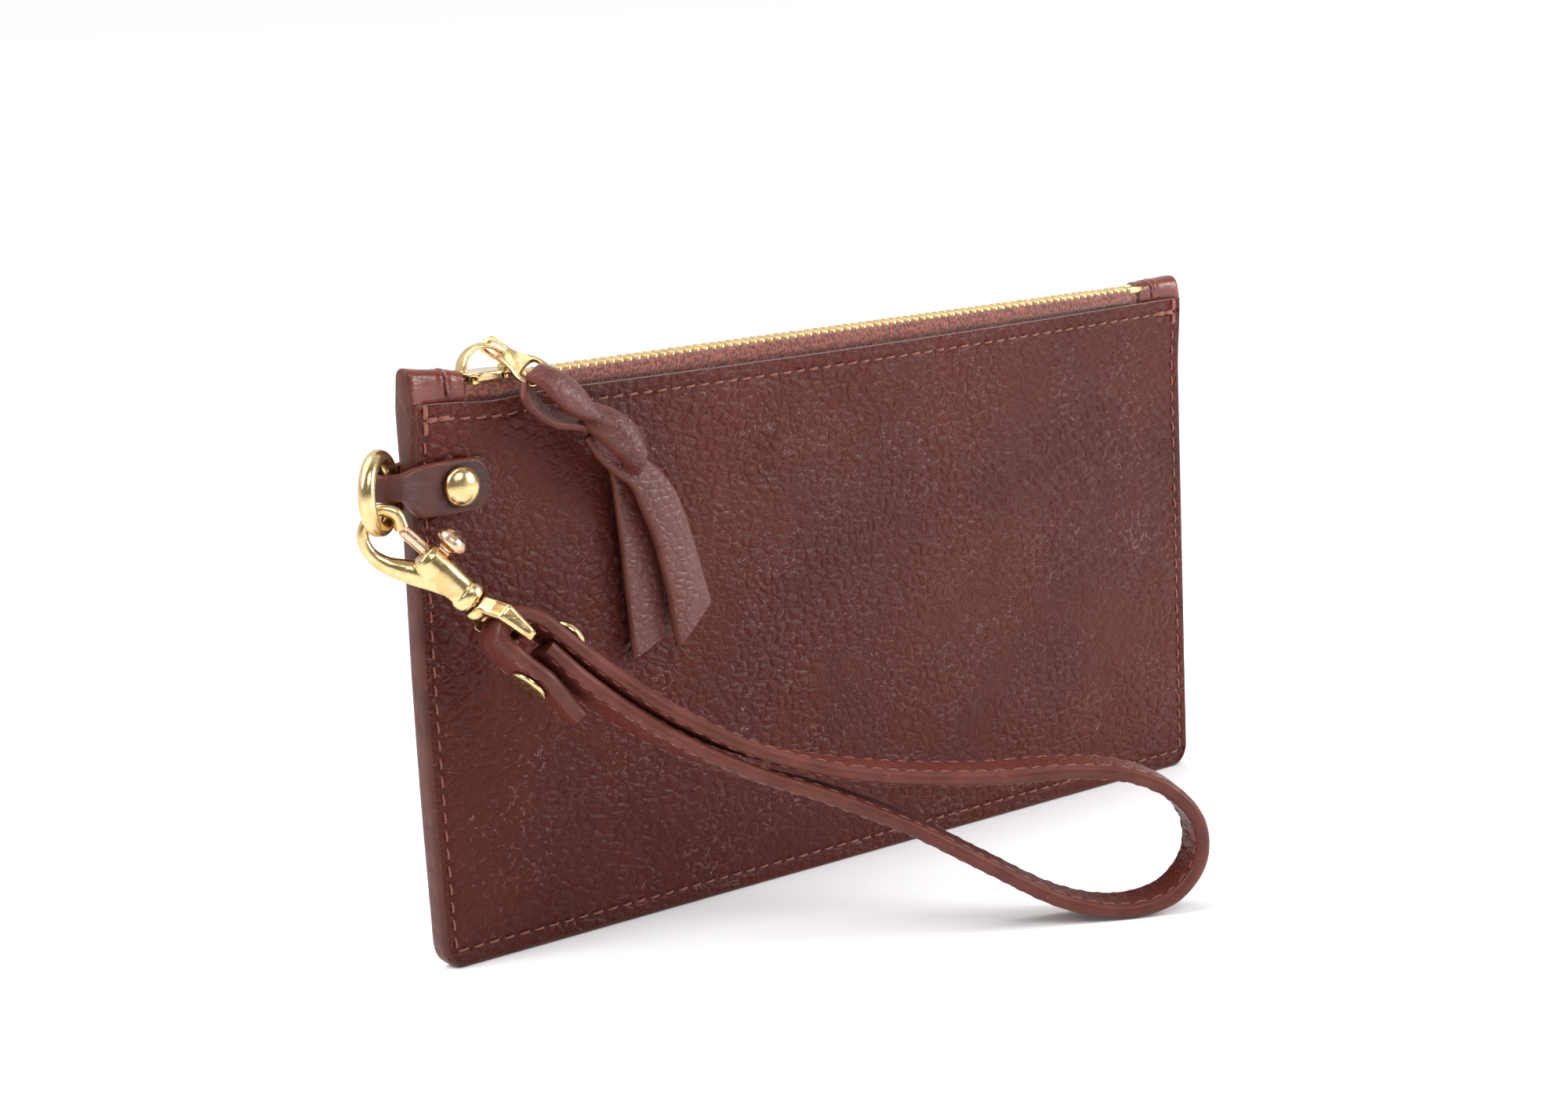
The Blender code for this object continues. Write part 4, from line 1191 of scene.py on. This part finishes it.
def rivets():
    """The ring tab's rivet and the strap's, each a dome in front and a flatter head behind."""
    face = TAB_FACE_Y + TAB_LEATHER + 0.25
    centre = (RIVET_X, 0, TAB_CENTRE_Z)
    cap = turned(dome(4.6, -face, -2.9, 12), "y", centre, 64)
    piece("tab_rivet_dome", cap, BRASS, "pouch", "brass", "tab_rivet_cap")
    head = turned(dome(4.4, face, 1.1, 8), "y", centre, 64)
    piece("tab_rivet_head", head, BRASS, "pouch", "brass", "tab_rivet_post")
    here = rivet_frame()
    cap = moved(turned(dome(4.5, 6.9, 2.7, 12), "y", segments=64), here)
    piece("strap_rivet_dome", cap, BRASS, "strap", "brass", "strap_rivet_cap")
    head = moved(turned(dome(4.5, -7.6, -1.1, 8, 0.5), "y", segments=64), here)
    piece("strap_rivet_head", head, BRASS, "strap", "brass", "strap_rivet_post")


def ring():
    """The wire ring, seen edge on from the front left."""
    along, up = Vector((-0.8, -0.6, 0)), Vector((0, 0, 1))
    axis = along.cross(up)
    sections = []
    for c, s in circle(96):
        outward = along * c + up * s
        centre = RING_CENTRE + outward * RING_MEAN_RADIUS
        sections.append(oval(centre, outward, axis, RING_WIRE_RADIUS, RING_WIRE_RADIUS, 24))
    piece("ring_wire", loft(sections, closed=True), BRASS, "ring", "brass", "ring")


# Snap hook


def hang_point(s, z):
    """A point of the upright plane that the hook and strap hang in."""
    x = RING_CENTRE.x + s * math.cos(HANG_HEADING)
    return Vector((x, RING_CENTRE.y + s * math.sin(HANG_HEADING), z))


def snap_frame():
    """The hook's frame at the swivel joint: down its length, across it and out of the hanging plane."""
    heading = Vector((math.cos(HANG_HEADING), math.sin(HANG_HEADING), 0))
    up = Vector((0, 0, 1))
    down_axis = heading * math.cos(SNAP_SLOPE) + up * math.sin(SNAP_SLOPE)
    across = -heading * math.sin(SNAP_SLOPE) + up * math.cos(SNAP_SLOPE)
    return frame_of(hang_point(SNAP_JOINT_S, SNAP_JOINT_Z), down_axis, across, down_axis.cross(across))


def eye_frame():
    """The eye's frame: the hook's, rolled about its length."""
    return snap_frame() @ Matrix.Rotation(-EYE_ROLL, 4, "X")


def rivet_frame():
    """The strap rivet's frame, in line with the eye."""
    return eye_frame() @ Matrix.Translation(Vector((21.4, 1.3, 0.0)) * MM)


def tube(route, radii, depths):
    """A bar in the uv plane with its own radius in the plane and depth across it at each point."""
    out = Vector((0, 0, 1))
    sections = []
    for point, tangent, radius, depth in zip(route, tangents(route), radii, depths):
        sections.append(oval(point, out.cross(tangent), out, radius, depth, 24))
    return loft(sections)


def oblong(low, high):
    """A plain box between two corners."""
    (u0, v0, w0), (u1, v1, w1) = low, high
    loop = [(v0, w0), (v1, w0), (v1, w1), (v0, w1)]
    return loft([[(u, v, w) for v, w in loop] for u in (u0, u1)])


def snap_hook():
    """The hook's casting: a bow that grows out of a barrel, which is bored and slotted for the bolt."""
    here = snap_frame()
    bow = [(-21.75, 1.5), (-25.2, 2.9), (-28.3, 1.2), (-28.6, -2.2), (-26.9, -5.4), (-23.4, -7.0)]
    bow += [(-19.3, -6.6), (-15.4, -4.9), (-11.4, -3.0), (-7.6, -1.7), (-4.2, -0.9)]
    steps = 6
    route = smooth_route([(u, v, 0) for u, v in bow], steps)
    sizes = [1.65, 1.6, 1.3, 1.22, 1.32, 1.5, 1.9, 2.5, 2.8, 2.6, 2.3]
    radii = [spread(sizes, i / steps) for i in range(len(route))]
    depths = [max(r * 0.95, 1.6) for r in radii]
    barrel = [(2.9, -15.0), (3.5, -14.5), (3.85, -13.4), (3.75, -9.0), (3.45, -4.2), (3.4, -3.1)]
    barrel += [(3.85, -2.5), (3.95, -1.6), (3.8, -0.5), (3.3, 0.3)]
    parts = [tube(route, radii, depths), turned(barrel)]
    hook = cast("snap_hook_casting", [moved(part, here) for part in parts], BRASS, 0.16, 9)
    bore = turned([(1.62, -18), (1.62, -2.7)], centre=(0, BOLT_V, 0), segments=32)
    slot = oblong((-17.5, BOLT_V, -1.0), (-5.2, 7, 1.0))
    carve(hook, [moved(bore, here), moved(slot, here)], BRASS)
    fit(hook, "snap_hook", "brass", "snap_hook_body")


def snap_bolt():
    """The bolt's rod, the neck that rides in the slot, and the thumb knob."""
    here = snap_frame()
    rod = [(0.9, -21.85), (1.3, -21.6), (1.42, -21.1), (1.42, -8.6)]
    rod = turned(rod, centre=(0, BOLT_V, 0), segments=40)
    knob = [(1.5, 4.2), (1.7, 4.8), (2.7, 5.3), (3.5, 5.7), (3.75, 6.3), (3.5, 7.2), (2.8, 8.0), (1.7, 8.6)]
    knob += [(0.6, 8.85), (0.1, 8.9)]
    parts = [rod, oblong((-13.3, BOLT_V, -0.75), (-10.6, 5.8, 0.75)), turned(knob, "y", (-12, 0, 0))]
    bolt = cast("snap_bolt_rod", [moved(part, here) for part in parts], COPPER, 0.12, 3)
    fit(bolt, "snap_bolt", "brass", "snap_bolt")


def snap_spring():
    """The coil behind the bolt, with a mesh of its own."""
    here = snap_frame()
    coil = moved(spring_coil(), here)
    spring = piece("snap_spring_coil", coil, STEEL, "snap_hook", "spring_steel", "snap_spring")
    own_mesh(spring)


def swivel_stud():
    """The headed stud that the eye turns on."""
    stud = [(1.0, -1.4), (1.25, -1.1), (1.25, 4.1), (2.15, 4.15), (2.35, 4.5), (2.0, 5.1)]
    stud += [(1.1, 5.5), (0.1, 5.6)]
    stud = moved(turned(stud), snap_frame())
    piece("swivel_stud_head", stud, BRASS, "snap_hook", "brass", "swivel_stud")


def spring_coil():
    """Five turns of round wire."""
    turns, steps = 5, 20
    coil, wire = 1.15, 0.22
    low = -8.2
    route = []
    for i in range(turns * steps + 1):
        a = 2 * math.pi * i / steps
        along = low + (SPRING_SEAT - low) * i / (turns * steps)
        route.append(Vector((along, BOLT_V + coil * math.cos(a), coil * math.sin(a))))
    sections = []
    for point, tangent in zip(route, tangents(route)):
        outward = Vector((0, point.y - BOLT_V, point.z)).normalized()
        sections.append(oval(point, outward, tangent.cross(outward), wire, wire, 10))
    return loft(sections)


def swivel_eye():
    """The eye: a collar, two arms that taper to the strap's bar, and the bar."""
    here = eye_frame()
    thick = [(0.9, 3.3), (3.2, 5.6), (5.2, 8.6)]
    thin = [(12.4, 8.9), (13.9, 8.3), (13.9, 7.4), (11.0, 7.0)]
    outline = mirrored(thick + thin + [(5.4, 6.9), (3.9, 2.7)])
    sections = []
    for level, inset in ((-1.0, 0.45), (-0.55, 0.0), (0.55, 0.0), (1.0, 0.45)):
        section = []
        for u, w in outline:
            tall = 1.25 if (u, abs(w)) in thin else 2.1
            section.append((u + (inset if u < 2 else 0), level * tall, w - math.copysign(inset, w)))
        sections.append(section)
    collar = turned([(2.9, 0.75), (3.6, 1.1), (3.75, 1.9), (3.6, 2.9), (2.7, 3.9)])
    bar = turned([(1.2, -7.8), (1.2, 7.8)], segments=32)
    bar = moved(bar, Matrix.Translation((BAR_U * MM, 0, 0)) @ Matrix.Rotation(math.radians(90), 4, "Y"))
    parts = [loft(sections), collar, bar]
    eye = cast("swivel_eye_casting", [moved(part, here) for part in parts], BRASS, 0.16, 40)
    carve(eye, [moved(turned([(1.6, -1), (1.6, 5)], segments=32), here)], BRASS)
    fit(eye, "swivel_eye", "brass", "swivel_eye")


# Strap


def strap_route(steps):
    """Route points and width directions: near the eye the strap is rolled with it, and flat further on."""
    snap = snap_frame()
    axis, across, sideways = (snap.to_3x3().col[i] for i in range(3))
    start = snap.translation / MM
    points, widths = [], []
    for p in smooth_route([(s, z, 0) for s, z in STRAP_ROUTE], steps):
        s, z = p.x, p.y
        point = hang_point(s, z)
        offset = (point - start).dot(across)
        turn = EYE_ROLL * (1 - ease((s - 38) / 24))
        shift = offset * (across * math.cos(turn) - sideways * math.sin(turn)) - offset * across
        roll = EYE_ROLL * (1 - ease((s - 45) / 65))
        points.append(point + shift)
        widths.append(sideways * math.cos(roll) + across * math.sin(roll))
    return points, widths


def strap():
    """The strap: two plies sewn together, with one painted edge round both."""
    steps = 14
    points, widths = strap_route(steps)
    directions = tangents(points)
    bends = strap_bends(points, directions)
    sections, frames = [], []
    run = 0.0
    for i, (point, along, width) in enumerate(zip(points, directions, widths)):
        run += (point - points[i - 1]).length if i else 0.0
        side = (width - along * width.dot(along)).normalized()
        normal = side.cross(along)
        half = STRAP_WIDTH / 2
        if i < steps * 2:
            half = 2.6 + (half - 2.6) * ease(i / (steps * 1.3))
        frames.append((point, side, normal))
        section = []
        for u, w in strip_section(half, STRAP_THICKNESS, STRAP_SIDES):
            folded = 0.0
            if w < 0 and abs(u) < half - 1.0:
                folded = 0.30 * min(1.0, bends[i] * 14) * crumple(run, u)
            dip = math.copysign(0.24, w) * math.exp(-(((abs(u) - STRAP_ROW) / 0.6) ** 2))
            section.append(point + side * u + normal * (w + folded - dip))
        sections.append(section)
    verts, faces, which = strip_solid(sections, STRAP_SIDES)
    obj = new_mesh("strap_leather", verts, faces, [LEATHER_STRAP, EDGE_LIGHT], which, 60)
    fit(obj, "strap", "leather", "strap_outer_ply", "strap_inner_ply")
    strap_stitching(frames)


def strap_bends(points, directions):
    """How sharply the strap bends at each point, per millimetre."""
    bends = [0.0] * len(points)
    for i in range(4, len(points) - 4):
        turn = (directions[i + 4] - directions[i - 4]).length
        bends[i] = turn / (points[i + 4] - points[i - 4]).length
    return bends


def crumple(run, u):
    """Folds across the inner face of a bent strap."""
    broad = noise.noise(Vector((run / 0.95, u / 4.5, 2.0)))
    return broad + 0.5 * noise.noise(Vector((run / 0.5, u / 2, 9.0)))


def strap_stitching(frames):
    """A row near each edge, on both faces."""
    threads, holes = [], []
    for across in (-STRAP_ROW, STRAP_ROW):
        for face in (-1, 1):
            points, normals = [], []
            gone = STITCH_PITCH
            for i, (point, side, normal) in enumerate(frames):
                gone += (point - frames[i - 1][0]).length if i else 0.0
                if gone >= STITCH_PITCH and i > 14:
                    points.append(point + side * across + normal * face * (STRAP_THICKNESS / 2 - 0.24))
                    normals.append(normal * face)
                    gone -= STITCH_PITCH
            more_threads, more_holes = stitched_line(points, normals, 0.19, 0.08, 0.04, 0.28)
            threads += more_threads
            holes += more_holes
    sewn("strap_stitches", threads, "strap_needle_holes", holes, "strap", "leather")


# Studio


def studio():
    """A white floor, a soft light from the ceiling and three softboxes."""
    size = 60000
    corners = [(-size, -size, 0), (size, -size, 0), (size, size, 0), (-size, size, 0)]
    floor = new_mesh("floor", corners, [(0, 1, 2, 3)], [seamless_paper()])
    studio_walls()
    sun = bpy.data.lights.new("ceiling_light", "SUN")
    sun.energy = 1.55
    sun.angle = math.radians(55)
    lamp = bpy.data.objects.new("ceiling_light", sun)
    lamp.rotation_euler = (math.radians(-16), math.radians(-14), 0)
    bpy.context.scene.collection.objects.link(lamp)
    softbox("right_softbox", (480, -520, 340), (40, -10, 60), (300, 360), 3.6)
    softbox("front_softbox", (-120, -620, 620), (-40, 0, 80), (420, 300), 2.1)
    softbox("left_softbox", (-620, 60, 520), (-100, -10, 90), (260, 320), 3.0)
    view = bpy.context.scene.view_settings
    view.view_transform = "Standard"
    view.look = "None"


def seamless_paper():
    """White paper that glows a little, so that it stays white."""
    n = Nodes("seamless_paper")
    tone = n.mix(n.noise(3, 2), (0.93, 0.93, 0.935), (0.945, 0.945, 0.95))
    glow = {"Emission_Color": (1, 1, 1, 1), "Emission_Strength": 0.06}
    return n.finish(tone, 0.8, Specular_IOR_Level=0.2, **glow)


def studio_walls():
    """A white wall behind the pouch that dims round to the front, as a studio does."""
    world = bpy.data.worlds.new("studio")
    world.use_nodes = True
    tree = world.node_tree
    background = tree.nodes["Background"]
    background.inputs["Color"].default_value = (0.985, 0.99, 1.0, 1)
    place = tree.nodes.new("ShaderNodeTexCoord")
    axes = tree.nodes.new("ShaderNodeSeparateXYZ")
    turn = tree.nodes.new("ShaderNodeMath")
    turn.operation = "MULTIPLY_ADD"
    turn.inputs[1].default_value = 0.35
    ramp = tree.nodes.new("ShaderNodeMapRange")
    ramp.interpolation_type = "SMOOTHSTEP"
    for key, value in (("From Min", -0.6), ("From Max", 0.5), ("To Min", 0.26), ("To Max", 1.0)):
        ramp.inputs[key].default_value = value
    tree.links.new(place.outputs["Generated"], axes.inputs["Vector"])
    tree.links.new(axes.outputs["X"], turn.inputs[0])
    tree.links.new(axes.outputs["Y"], turn.inputs[2])
    tree.links.new(turn.outputs["Value"], ramp.inputs["Value"])
    tree.links.new(ramp.outputs["Result"], background.inputs["Strength"])
    bpy.context.scene.world = world


def softbox(name, at, target, size, power):
    """A rectangular light at one point that faces another, all in millimetres."""
    light = bpy.data.lights.new(name, "AREA")
    light.shape = "RECTANGLE"
    light.size, light.size_y = (s * MM for s in size)
    light.energy = power
    obj = bpy.data.objects.new(name, light)
    obj.location = Vector(at) * MM
    obj.rotation_euler = (Vector(target) - Vector(at)).to_track_quat("-Z", "Y").to_euler()
    bpy.context.scene.collection.objects.link(obj)


def camera():
    """The camera that the photograph was taken with."""
    heading, dip, roll = (math.radians(a) for a in (CAMERA_HEADING, CAMERA_DIP, CAMERA_ROLL))
    forward = Vector((math.sin(heading) * math.cos(dip), math.cos(heading) * math.cos(dip), -math.sin(dip)))
    level = forward.cross(Vector((0, 0, 1))).normalized()
    upright = level.cross(forward)
    right = level * math.cos(roll) + upright * math.sin(roll)
    up = upright * math.cos(roll) - level * math.sin(roll)
    data = bpy.data.cameras.new("camera")
    data.sensor_width = 36
    data.lens = CAMERA_LENS
    data.clip_start = 0.01
    data.clip_end = 200
    obj = bpy.data.objects.new("camera", data)
    obj.matrix_world = frame_of(Vector(CAMERA_AT), right, up, -forward)
    bpy.context.scene.collection.objects.link(obj)
    bpy.context.scene.camera = obj


def build():
    """The whole scene; each function makes and places its own pieces."""
    camera()
    studio()
    for side, word in ((-1, "front"), (1, "back")):
        panel(word + "_leather", side)
        panel_stitching(side, word)
        zip_side(side, word)
    edge_band()
    end_tab("left_end_tab", -1, LEFT_TAB_END, 135.2, 133.0, -112.0)
    end_tab("right_end_tab", 1, RIGHT_TAB_END, 132.9, 132.2, 111.8)
    zip_stops()
    slider()
    pull()
    thong()
    ring_tab()
    rivets()
    ring()
    snap_hook()
    snap_bolt()
    snap_spring()
    swivel_stud()
    swivel_eye()
    strap()


build()
